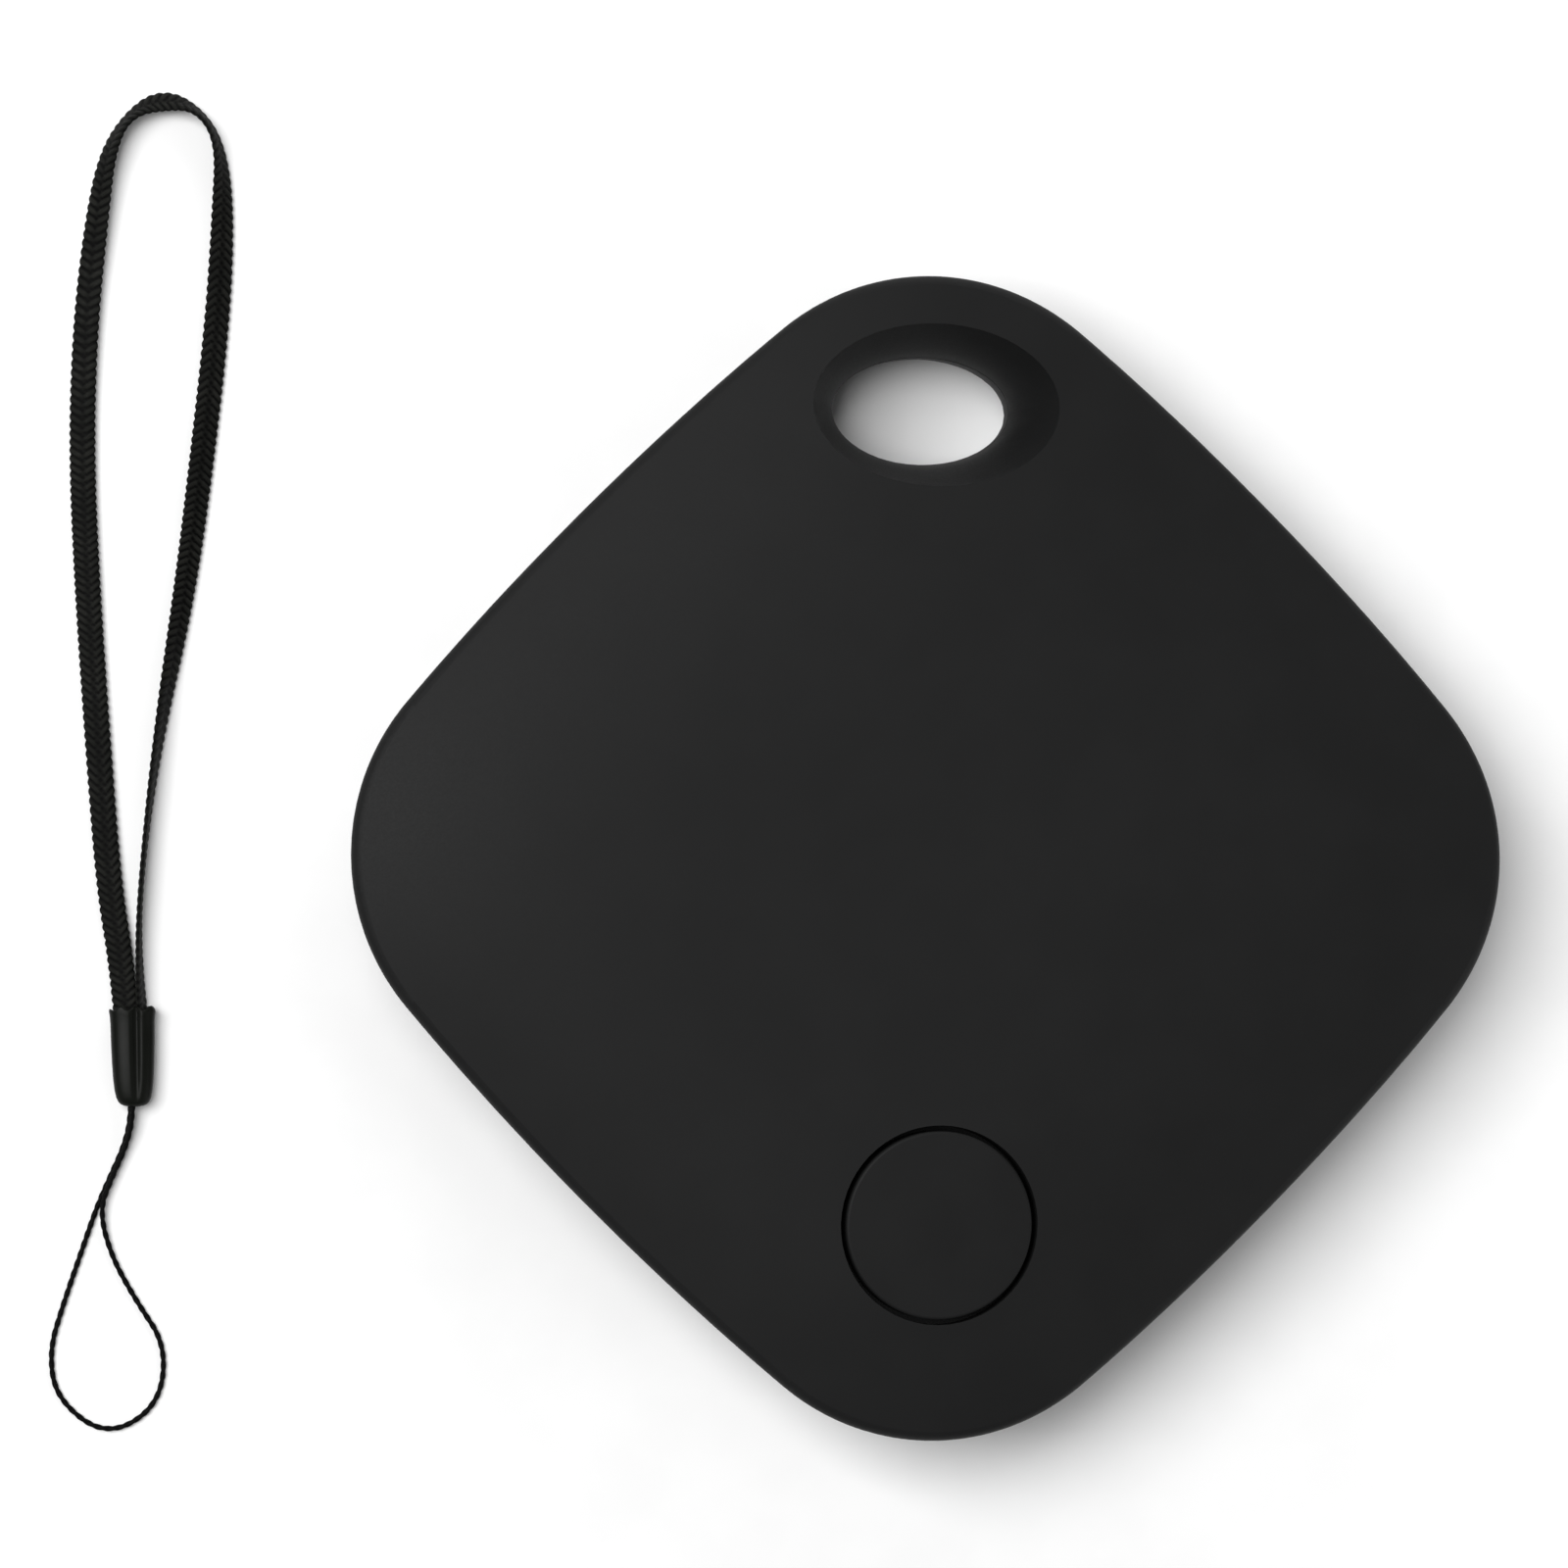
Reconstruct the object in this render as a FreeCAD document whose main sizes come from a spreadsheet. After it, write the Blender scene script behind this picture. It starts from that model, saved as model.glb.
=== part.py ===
import FreeCAD, Part
import math
import os
import Sketcher
from FreeCAD import Placement, Rotation, Vector

# A key-finder tag: a rounded square standing on one corner, with a domed front, an oval lanyard eye near
# the top corner and a round push button near the bottom one. The tag lies on its back.
# Frame: origin at the middle of the rear face, +X right and +Y towards the eye as seen from the front,
# +Z out of the front face. Millimetres.

DIMENSIONS = (
    ("side_radius", 125.0, "radius of each bowed side of the outline"),
    ("corner_radius", 9.6, "radius of each corner of the outline"),
    ("corner_centre", 14.1, "distance from the middle to each corner's centre"),
    ("case_height", 8.2, "thickness at the middle of the dome"),
    ("dome_fall", 1.5, "how far the dome has dropped at dome_reach"),
    ("dome_reach", 20.0, "half the width across the sides"),
    ("rim_height", 6.7, "height where dome and side wall meet, and where the outline is measured"),
    ("rim_round", 0.5, "edge between dome and side wall"),
    ("lean_angle", 9.0, "lean of the side walls, outwards from back to front, degrees"),
    ("bottom_round", 2.2, "edge between rear face and side wall"),
    ("parting_height", 3.4, "top of the rear shell's wall"),
    ("seam_gap", 0.1, "open line between the two shells"),
    ("wall", 1.2, "roof and floor thickness"),
    ("side_inset", 1.75, "inner side of the rear shell's wall, in from the outline"),
    ("lap", 0.1, "how far joined shapes run into each other"),
    ("slip", 0.05, "clearance of the tongue in the rear shell"),
    ("tongue", 0.7, "thickness of the front shell's tongue"),
    ("tongue_foot", 2.3, "height of the tongue's lower edge"),
    ("ledge_height", 1.9, "seal ledge in the rear shell"),
    ("cell_edge", 12.9, "top of the inner space, below the eye"),
    ("eye_centre", 18.4, "distance of the eye from the middle"),
    ("pin_across", 8.2, "alignment pins, either side of the eye"),
    ("pin_along", 14.7, "alignment pins, distance from the middle"),
    ("pin_radius", 0.6, "alignment pin"),
    ("pin_depth", 1.0, "how far a pin enters its socket"),
    ("pin_slip", 0.1, "radial clearance of a pin in its socket"),
    ("notch_width", 5.0, "pry notch at the bottom corner"),
    ("notch_depth", 0.7, "pry notch, into the wall"),
    ("notch_height", 0.6, "pry notch, below the parting line"),
    ("sound_radius", 0.45, "sound hole"),
    ("sound_ring", 2.4, "radius of the ring of sound holes"),
    ("button_along", -14.9, "button centre"),
    ("button_radius", 3.8, "button cap"),
    ("button_gap", 0.22, "open ring round the button cap"),
    ("button_flange", 4.6, "radius of the flange that keeps the cap in"),
    ("flange_low", 5.9, "underside of the flange"),
    ("flange_high", 6.5, "upper side of the flange"),
    ("seat_height", 6.62, "face in the front shell that stops the flange"),
    ("seat_radius", 5.1, "boss round the button hole"),
    ("flange_gap", 0.2, "clearance round the flange"),
    ("stem_radius", 1.6, "stem under the cap"),
    ("stem_low", 5.45, "lower end of the stem"),
    ("pad_radius", 1.4, "silicone pad on the stem"),
    ("pad_low", 5.1, "lower face of the silicone pad"),
    ("board_low", 2.35, "underside of the circuit board"),
    ("board_high", 3.15, "upper side of the circuit board"),
    ("board_inset", 2.8, "board edge, in from the outline"),
    ("board_edge", 11.8, "straight upper edge of the board"),
    ("post_across", 10.6, "board posts, from the middle"),
    ("post_along", 9.4, "board posts, from the middle"),
    ("post_radius", 1.6, "board post"),
    ("screw_radius", 0.6, "shank of a board screw"),
    ("screw_head", 1.2, "head of a board screw"),
    ("screw_head_height", 0.6, "head of a board screw"),
    ("screw_tip", 0.75, "lower end of a board screw"),
    ("driver_length", 1.5, "cross recess of a board screw"),
    ("driver_width", 0.35, "cross recess of a board screw"),
    ("driver_depth", 0.3, "cross recess of a board screw"),
    ("cell_along", 0.4, "coin cell centre"),
    ("cell_radius", 10.0, "coin cell"),
    ("cell_low", 3.45, "lower face of the coin cell"),
    ("cell_height", 3.2, "coin cell"),
    ("cap_radius", 8.75, "negative cap of the coin cell"),
    ("crimp_radius", 9.1, "mouth of the positive can"),
    ("cradle_slip", 0.15, "clearance of the cell in its cradle"),
    ("cradle_wall", 0.85, "cradle ring"),
    ("cradle_high", 5.2, "top of the cradle ring"),
    ("contact_gap", 3.4, "opening of the cradle at the positive contact"),
    ("scoop_width", 8.0, "finger scoop in the cradle"),
    ("contact_width", 2.6, "positive contact"),
    ("contact_skin", 0.2, "positive contact's leaf"),
    ("strip_length", 9.0, "negative contact"),
    ("strip_width", 3.0, "negative contact"),
    ("strip_skin", 0.12, "negative contact"),
    ("switch_side", 4.0, "switch body"),
    ("switch_mid", 4.3, "joint between switch base and frame"),
    ("switch_high", 4.65, "top of the switch frame"),
    ("plunger_radius", 1.0, "switch plunger"),
    ("plunger_high", 5.05, "top of the switch plunger"),
    ("terminal_reach", 0.6, "switch terminals, past the body"),
    ("terminal_width", 0.6, "switch terminals"),
    ("terminal_shift", 1.2, "switch terminals, from the middle line"),
    ("skin", 0.15, "feet of the sheet-metal contacts"),
    ("sounder_radius", 7.5, "brass plate of the sounder"),
    ("sounder_low", 1.4, "underside of the brass plate"),
    ("sounder_skin", 0.15, "brass plate and ceramic disc, each"),
    ("ceramic_radius", 5.5, "ceramic disc of the sounder"),
    ("fence_wall", 0.6, "fence round the sounder"),
    ("spring_width", 0.8, "sounder springs"),
    ("spring_skin", 0.12, "sounder springs"),
    ("foam_radius", 6.0, "foam disc under the dome"),
    ("foam_low", 6.7, "lower face of the foam disc"),
    ("foam_high", 6.95, "upper face of the foam disc"),
    ("strap_tube", 0.8, "plain tube that stands for the strap"),
    ("strap_level", 0.42, "height of the strap's middle line"),
    ("string_tube", 0.22, "string"),
    ("cord_end_width", 1.9, "moulded cord end at the strap"),
    ("cord_end_height", 1.2, "moulded cord end, thickness"),
    ("cord_end_length", 4.0, "moulded cord end"),
    ("cord_end_across", -32.05, "cord end, middle line"),
    ("cord_end_top", -6.15, "cord end, face that the strap enters"),
)

# The lanyard eye is an hourglass of ellipses: height, half width, half height
EYE_SECTIONS = (
    (-0.4, 4.90, 3.25),
    (0.8, 4.20, 2.65),
    (2.2, 3.72, 2.26),
    (3.0, 3.65, 2.20),
    (4.2, 3.80, 2.32),
    (6.2, 4.52, 2.88),
    (8.3, 5.40, 3.58),
)

# Route of the strap: out of the cord end, up the left leg, round the bend and back down the right leg
STRAP_ROUTE = (
    (-32.47, -6.15), (-32.47, -4.4), (-32.95, -1.2), (-33.45, 4.4), (-33.9, 10.6), (-34.2, 16.6),
    (-34.05, 21.9), (-33.6, 26.2), (-33.2, 28.9), (-32.4, 30.3), (-30.95, 31.0), (-29.5, 30.6),
    (-28.6, 29.3), (-28.45, 26.6), (-28.65, 22.2), (-29.25, 16.6), (-29.95, 11.0), (-31.1, 4.6),
    (-31.75, -0.9), (-31.63, -4.4), (-31.63, -6.15),
)

# Route of the string: out of the cord end's tip, round the loop and back beside itself, with its height
STRING_ROUTE = (
    (-32.18, -10.15, 0.5), (-32.18, -10.7, 0.5), (-32.42, -11.8, 0.2), (-32.95, -13.0, 0.13),
    (-33.52, -14.3, 0.13), (-34.0, -15.9, 0.13), (-34.75, -18.0, 0.13), (-35.55, -20.1, 0.13),
    (-35.1, -22.2, 0.13), (-33.0, -23.85, 0.13), (-30.95, -22.6, 0.13), (-30.75, -20.2, 0.13),
    (-31.9, -18.2, 0.13), (-32.9, -16.4, 0.13), (-33.25, -14.6, 0.13), (-32.7, -13.05, 0.13),
    (-32.12, -11.8, 0.2), (-31.9, -10.7, 0.5), (-31.9, -10.15, 0.5),
)

# Small parts on the board: name, length, width, height, then where each one stands and its quarter turns
BOARD_PARTS = (
    ("radio_chip", 4.0, 4.0, 0.8, ((-14.6, -1.0, 0),)),
    ("main_crystal", 2.0, 1.6, 0.5, ((-18.3, -0.6, 1),)),
    ("sleep_crystal", 3.2, 1.5, 0.7, ((-14.7, 3.5, 0),)),
    ("chip_antenna", 5.0, 2.0, 1.0, ((18.3, 0.0, 1),)),
    ("boost_inductor", 3.0, 3.0, 1.2, ((14.0, -4.4, 0),)),
    ("driver_transistor", 2.9, 1.3, 1.0, ((13.9, 4.6, 1),)),
    ("capacitors", 1.0, 0.5, 0.5, (
        (-17.6, 2.2, 1), (-16.2, -4.2, 0), (-14.4, -4.2, 0), (-18.6, -3.0, 1),
        (15.9, -0.9, 0), (15.9, 0.9, 0), (16.6, -4.0, 1), (-3.6, -13.0, 1), (8.0, -11.6, 0),
    )),
    ("resistors", 1.0, 0.5, 0.35, (
        (-12.6, -5.6, 1), (-14.2, 5.8, 0), (12.0, 6.6, 0), (11.8, -7.0, 0), (3.6, -13.0, 1), (-8.0, -11.6, 0),
    )),
)

doc = FreeCAD.newDocument("tracker_tag")
dims = doc.addObject("Spreadsheet::Sheet", "dims")
for row, (alias, value, note) in enumerate(DIMENSIONS, start=1):
    dims.set(f"A{row}", note)
    dims.set(f"B{row}", str(value))
    dims.setAlias(f"B{row}", alias)
doc.recompute()

parts = []


def size(alias):
    """A driving dimension as a number."""
    return float(dims.get(alias))


def bind(item, expressions):
    """Drives the item's properties from the sheet."""
    for name, expression in expressions.items():
        item.setExpression(name, expression)
    return item


def place(item, across="0", along="0", up="0"):
    return bind(item, {
        "Placement.Base.x": across,
        "Placement.Base.y": along,
        "Placement.Base.z": up,
    })


def keep(item, label):
    """The item is a finished sub-part, written to a file of its own."""
    item.Label = label
    parts.append(item)
    return item


def cylinder(name, radius, low, high, across="0", along="0"):
    item = doc.addObject("Part::Cylinder", name)
    bind(item, {"Radius": radius, "Height": f"({high}) - ({low})"})
    return place(item, across, along, low)


def block(name, length, width, low, high, across="0", along="0"):
    """A box centred on its place in plan."""
    item = doc.addObject("Part::Box", name)
    bind(item, {"Length": length, "Width": width, "Height": f"({high}) - ({low})"})
    return place(item, f"({across}) - ({length}) / 2", f"({along}) - ({width}) / 2", low)


def cut(name, base, tool):
    item = doc.addObject("Part::Cut", name)
    item.Base = base
    item.Tool = tool
    return item


def fuse(name, *shapes):
    item = doc.addObject("Part::MultiFuse", name)
    item.Shapes = shapes
    return item


def common(name, *shapes):
    item = doc.addObject("Part::MultiCommon", name)
    item.Shapes = shapes
    return item


def group(name, *shapes):
    """Several separate solids kept as one sub-part."""
    item = doc.addObject("Part::Compound", name)
    item.Links = shapes
    return item


def edges_where(item, test):
    """Numbers of the item's edges that pass the test."""
    return [number for number, edge in enumerate(item.Shape.Edges, start=1) if test(edge)]


def rounded(name, base, radius, test):
    """The base with the edges that pass the test rounded."""
    doc.recompute()
    item = doc.addObject("Part::Fillet", name)
    item.Base = base
    item.Edges = [(number, radius, radius) for number in edges_where(base, test)]
    return item


# Outline of the case: four corner arcs and four bowed sides, all tangent

def outline_sketch():
    """Sketch of the whole outline, driven by the sides' and corners' radii and the corners' centres."""
    sketch = doc.addObject("Sketcher::SketchObject", "outline")
    side, corner, centre = size("side_radius"), size("corner_radius"), size("corner_centre")
    reach = side - corner
    # the centre of the side that faces +X +Y lies on the diagonal through -X -Y
    half = centre / 2
    back = math.sqrt(reach ** 2 / 2 - half ** 2) - half
    lean = math.atan2(back, centre + back)
    for turn in range(4):
        start = turn * math.pi / 2
        middle = Vector(centre * math.cos(start), centre * math.sin(start), 0)
        arc = Part.Circle(middle, Vector(0, 0, 1), corner)
        sketch.addGeometry(Part.ArcOfCircle(arc, start - lean, start + lean))
        away = start + math.pi / 4
        middle = Vector(-back * math.sqrt(2) * math.cos(away), -back * math.sqrt(2) * math.sin(away), 0)
        arc = Part.Circle(middle, Vector(0, 0, 1), side)
        sketch.addGeometry(Part.ArcOfCircle(arc, start + lean, start + math.pi / 2 - lean))
    constrain_outline(sketch)
    return sketch


def constrain_outline(sketch):
    """Arc 2k is the corner at k quarter turns, arc 2k + 1 is the side that follows it."""
    start_point, end_point, centre_point = 1, 2, 3
    signs = ((1, 0), (0, 1), (-1, 0), (0, -1))
    for turn, (across, along) in enumerate(signs):
        corner, side = 2 * turn, 2 * turn + 1
        following = (2 * turn + 2) % 8
        for first, second in ((corner, side), (side, following)):
            sketch.addConstraint(Sketcher.Constraint("Tangent", first, end_point, second, start_point))
        for kind, sign in (("DistanceX", across), ("DistanceY", along)):
            value = sign * size("corner_centre")
            number = sketch.addConstraint(Sketcher.Constraint(kind, -1, 1, corner, centre_point, value))
            if sign:
                sketch.setExpression(f"Constraints[{number}]", f"{sign} * dims.corner_centre")
        for arc, alias in ((corner, "corner_radius"), (side, "side_radius")):
            number = sketch.addConstraint(Sketcher.Constraint("Radius", arc, size(alias)))
            sketch.setExpression(f"Constraints[{number}]", f"dims.{alias}")


def inset_at(height):
    """How far the leaning side wall stands in from the outline at a height."""
    return f"(dims.rim_height - ({height})) * tan(dims.lean_angle * 1 deg)"


def prism(name, inset, low, high, lean=None):
    """The outline moved in by the inset, standing between two heights."""
    flat = outline
    if inset != "0":
        flat = doc.addObject("Part::Offset2D", name + "_outline")
        flat.Source = outline
        bind(flat, {"Value": f"-({inset})"})
    item = doc.addObject("Part::Extrusion", name)
    item.Base = flat
    item.DirMode = "Custom"
    item.Dir = Vector(0, 0, 1)
    item.Solid = True
    bind(item, {"LengthFwd": f"({high}) - ({low})"})
    if lean:
        bind(item, {"TaperAngle": lean})
    return place(item, up=low)


def clipped(name, inset, edge, low, high):
    """A prism of the outline that ends at a straight edge below the eye."""
    span = "4 * dims.dome_reach"
    keep_below = block(name + "_limit", span, span, low, high, along=f"({edge}) - ({span}) / 2")
    return common(name, prism(name + "_prism", inset, low, high), keep_below)


def dome(name, drop):
    """Everything under the dome surface, lowered by the drop.

    The surface falls with the fourth power of the distance from the two diagonals that join
    opposite sides, so it is nearly flat in the middle and meets the side wall at one height.
    It is one Bezier patch of degree 4: the poles of a fourth power over [-1, 1] are 1, -1, 1, -1, 1."""
    reach = size("dome_reach")
    half_patch = 1.1 * reach
    fall = size("dome_fall") * (half_patch / reach) ** 4
    top = size("case_height") - drop
    poles = []
    for i in range(5):
        line = []
        for j in range(5):
            height = top - fall * ((-1) ** i + (-1) ** j)
            line.append(Vector(half_patch * (i - 2) / 2, half_patch * (j - 2) / 2, height))
        poles.append(line)
    patch = Part.BezierSurface()
    patch.increase(4, 4)
    for i, line in enumerate(poles, start=1):
        for j, pole in enumerate(line, start=1):
            patch.setPole(i, j, pole)
    item = doc.addObject("Part::Feature", name)
    item.Shape = patch.toShape().extrude(Vector(0, 0, -2 * size("case_height")))
    item.Placement = Placement(Vector(), Rotation(Vector(0, 0, 1), 45))
    return item


def lanyard_eye(name):
    """The hourglass-shaped hole, a loft through ellipses."""
    sections = []
    for number, (height, half_width, half_height) in enumerate(EYE_SECTIONS):
        section = doc.addObject("Part::Ellipse", f"{name}_section_{number}")
        section.MajorRadius = half_width
        section.MinorRadius = half_height
        section.Placement.Base.z = height
        bind(section, {"Placement.Base.y": "dims.eye_centre"})
        sections.append(section)
    item = doc.addObject("Part::Loft", name)
    item.Sections = sections
    item.Solid = True
    return item


def mirrored_pair(name, radius, low, high, across, along):
    """Two equal posts either side of the middle line."""
    left = cylinder(name + "_left", radius, low, high, f"-({across})", along)
    right = cylinder(name + "_right", radius, low, high, across, along)
    return [left, right]


# Shells

def make_front_cover():
    wall_low = "dims.parting_height + dims.seam_gap"
    above = "dims.case_height + 1"
    block_outer = prism("front_block", inset_at(wall_low), wall_low, above, "dims.lean_angle")
    domed = common("front_domed", block_outer, dome("front_dome", 0))

    def is_rim(edge):
        box = edge.BoundBox
        return box.ZMin > size("parting_height") + 1 and box.DiagonalLength > 1

    skin = rounded("front_skin", domed, size("rim_round"), is_rim)
    inset = "dims.side_inset + dims.slip"
    clear_edge = "dims.cell_edge - dims.slip"
    tongue = clipped("front_tongue", inset, clear_edge, "dims.tongue_foot", wall_low)
    solid = fuse("front_solid", skin, tongue)

    inner_inset = f"{inset} + dims.tongue"
    inner_edge = f"{clear_edge} - dims.tongue"
    hollow_prism = clipped("front_hollow_prism", inner_inset, inner_edge, "dims.tongue_foot - 1", above)
    hollow = common("front_hollow", hollow_prism, dome("front_ceiling", size("wall")))
    seat = cylinder("button_seat", "dims.seat_radius", "dims.seat_height", above, along="dims.button_along")
    hollow_less_seat = cut("front_hollow_less_seat", hollow, seat)
    shell = cut("front_shell", solid, hollow_less_seat)

    hole_radius = "dims.button_radius + dims.button_gap"
    hole = cylinder("button_hole", hole_radius, "dims.seat_height - 1", above, along="dims.button_along")
    flange_room = cylinder("flange_room", "dims.button_flange + dims.flange_gap", "dims.parting_height",
                           "dims.seat_height", along="dims.button_along")
    pins = mirrored_pair("pin", "dims.pin_radius", f"{wall_low} - dims.pin_depth", f"{wall_low} + 1",
                         "dims.pin_across", "dims.pin_along")
    drilled = cut("front_drilled", shell, fuse("front_holes", hole, flange_room, lanyard_eye("front_eye")))
    keep(fuse("front_cover", drilled, *pins), "front_cover")


def make_rear_cover():
    block_outer = prism("rear_block", inset_at("0"), "0", "dims.parting_height", "dims.lean_angle")

    def is_bottom(edge):
        return edge.BoundBox.ZMax < 0.01

    solid = rounded("rear_solid", block_outer, size("bottom_round"), is_bottom)
    deep = clipped("rear_deep", "dims.side_inset + dims.tongue + dims.slip",
                   "dims.cell_edge - dims.tongue - dims.slip",
                   "dims.wall", "dims.parting_height + 1")
    recess = clipped("rear_recess", "dims.side_inset", "dims.cell_edge", "dims.ledge_height",
                     "dims.parting_height + 1")
    tray = cut("rear_tray", solid, fuse("rear_hollow", deep, recess))

    posts = []
    for side, along in (("upper", "dims.post_along"), ("lower", "-dims.post_along")):
        posts += mirrored_pair(f"post_{side}", "dims.post_radius", "dims.wall - dims.lap", "dims.board_low",
                               "dims.post_across", along)
    step = cut("sounder_step",
               cylinder("step_outer", "dims.sounder_radius", "dims.wall - dims.lap", "dims.sounder_low",
                        along="dims.cell_along"),
               cylinder("step_inner", "dims.sounder_radius - 1", "0", "dims.sounder_low + 1",
                        along="dims.cell_along"))
    fence = cut("sounder_fence",
                cylinder("fence_outer", "dims.sounder_radius + 2 * dims.slip + dims.fence_wall",
                         "dims.wall - dims.lap", "dims.ledge_height", along="dims.cell_along"),
                cylinder("fence_inner", "dims.sounder_radius + 2 * dims.slip", "0", "dims.ledge_height + 1",
                         along="dims.cell_along"))
    fitted = fuse("rear_fitted", tray, step, fence, *posts)

    tools = [lanyard_eye("rear_eye")]
    tools += mirrored_pair("socket", "dims.pin_radius + dims.pin_slip",
                           "dims.parting_height - dims.pin_depth - 0.2", "dims.parting_height + 1",
                           "dims.pin_across", "dims.pin_along")
    for name, across, along in screw_places():
        tools.append(cylinder(f"{name}_pilot", "dims.screw_radius + 0.02", "dims.screw_tip - 0.05",
                              "dims.board_low + 1", across, along))
    tools.append(block("pry_notch", "dims.notch_width", "2 * dims.notch_depth",
                       "dims.parting_height - dims.notch_height", "dims.parting_height + 1",
                       along=f"{inset_at('dims.parting_height')} - dims.corner_centre - dims.corner_radius"))
    tools.append(cylinder("sound_hole", "dims.sound_radius", "-1", "dims.wall + 1", along="dims.cell_along"))
    for number in range(6):
        angle = f"{60 * number} deg"
        tools.append(cylinder(f"sound_hole_{number}", "dims.sound_radius", "-1", "dims.wall + 1",
                              f"dims.sound_ring * cos({angle})",
                              f"dims.cell_along + dims.sound_ring * sin({angle})"))
    keep(cut("rear_cover", fitted, fuse("rear_holes", *tools)), "rear_cover")


def make_case_seal():
    """A flat silicone ring on the ledge, under the front shell's tongue."""
    low, high = "dims.ledge_height + 0.02", "dims.tongue_foot - 0.03"
    outer = clipped("seal_outer", "dims.side_inset + dims.slip", "dims.cell_edge - dims.slip", low, high)
    inner = clipped("seal_inner", "dims.side_inset + dims.tongue", "dims.cell_edge - dims.tongue", low,
                    f"{high} + 1")
    keep(cut("case_seal", outer, inner), "case_seal")


# Button

def make_button():
    along = "dims.button_along"
    cap = common("cap_top",
                 cylinder("cap_post", "dims.button_radius", "dims.flange_high - dims.lap",
                          "dims.case_height + 1", along=along),
                 dome("cap_dome", 0))
    flange = cylinder("cap_flange", "dims.button_flange", "dims.flange_low", "dims.flange_high", along=along)
    stem = cylinder("cap_stem", "dims.stem_radius", "dims.stem_low", "dims.flange_low + dims.lap", along=along)
    body = fuse("cap_body", cap, flange, stem)

    def is_top(edge):
        return edge.BoundBox.ZMin > size("flange_high") + 0.5 and edge.Length > 5

    keep(rounded("button_cap", body, 0.12, is_top), "button_cap")
    keep(cylinder("button_pad", "dims.pad_radius", "dims.pad_low", "dims.stem_low", along=along), "button_pad")
    keep(cylinder("battery_pad", "dims.foam_radius", "dims.foam_low", "dims.foam_high", along="dims.cell_along"),
         "battery_pad")


# Circuit board

def screw_places():
    """The two opposite posts that take a screw."""
    return (("screw_upper", "-dims.post_across", "dims.post_along"),
            ("screw_lower", "dims.post_across", "-dims.post_along"))


def make_circuit_board():
    plate = clipped("board_plate", "dims.board_inset", "dims.board_edge", "dims.board_low", "dims.board_high")
    holes = [cylinder(f"{name}_board_hole", "dims.screw_radius + 0.15", "dims.board_low - 1",
                      "dims.board_high + 1", across, along) for name, across, along in screw_places()]
    keep(cut("circuit_board", plate, fuse("board_holes", *holes)), "circuit_board")


def make_board_screws():
    screws = []
    for name, across, along in screw_places():
        top = "dims.board_high + dims.screw_head_height"
        head = cylinder(f"{name}_head", "dims.screw_head", "dims.board_high", top, across, along)
        shank = cylinder(f"{name}_shank", "dims.screw_radius", "dims.screw_tip", "dims.board_high + dims.lap",
                         across, along)
        sides = ("dims.driver_length", "dims.driver_width")
        slots = [block(f"{name}_slot_{letter}", *pair, f"{top} - dims.driver_depth", f"{top} + 1", across, along)
                 for letter, pair in (("a", sides), ("b", sides[::-1]))]
        screws.append(cut(name, fuse(f"{name}_blank", head, shank), fuse(f"{name}_cross", *slots)))
    keep(group("board_screws", *screws), "board_screws")


def make_board_parts():
    """Boxes on the board; the shapes of their leads and caps are left to the finish."""
    for name, length, width, height, places in BOARD_PARTS:
        blocks = []
        for number, (across, along, turns) in enumerate(places):
            long_side, short_side = (width, length) if turns else (length, width)
            blocks.append(block(f"{name}_{number}", str(long_side), str(short_side), "dims.board_high",
                                f"dims.board_high + {height}", str(across), str(along)))
        keep(group(name, *blocks) if len(blocks) > 1 else blocks[0], name)


# Switch under the button

def make_switch():
    side, along = "dims.switch_side", "dims.button_along"
    body = block("switch_block", side, side, "dims.board_high", "dims.switch_mid", along=along)
    terminals = []
    for row, sign in (("upper", "+"), ("lower", "-")):
        terminals.append(block(f"terminal_{row}", f"{side} + 2 * dims.terminal_reach", "dims.terminal_width",
                               "dims.board_high", "dims.board_high + dims.skin",
                               along=f"{along} {sign} dims.terminal_shift"))
    well = cylinder("switch_well", "dims.plunger_radius + 0.5", "dims.board_high + 0.35",
                    "dims.switch_high + 1", along=along)
    keep(cut("switch_base", fuse("switch_blank", body, *terminals), well), "switch_base")

    frame = block("frame_plate", side, side, "dims.switch_mid", "dims.switch_high", along=along)
    hole = cylinder("frame_hole", "dims.plunger_radius + 0.15", "dims.board_high", "dims.switch_high + 1",
                    along=along)
    keep(cut("switch_frame", frame, hole), "switch_frame")

    foot_high = "dims.switch_mid - 0.15"
    foot = cylinder("plunger_foot", "dims.plunger_radius + 0.35", f"{foot_high} - 0.2", foot_high, along=along)
    rod = cylinder("plunger_rod", "dims.plunger_radius", f"{foot_high} - 0.1", "dims.plunger_high", along=along)
    keep(fuse("switch_plunger", foot, rod), "switch_plunger")


# Coin cell and its holder

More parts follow.
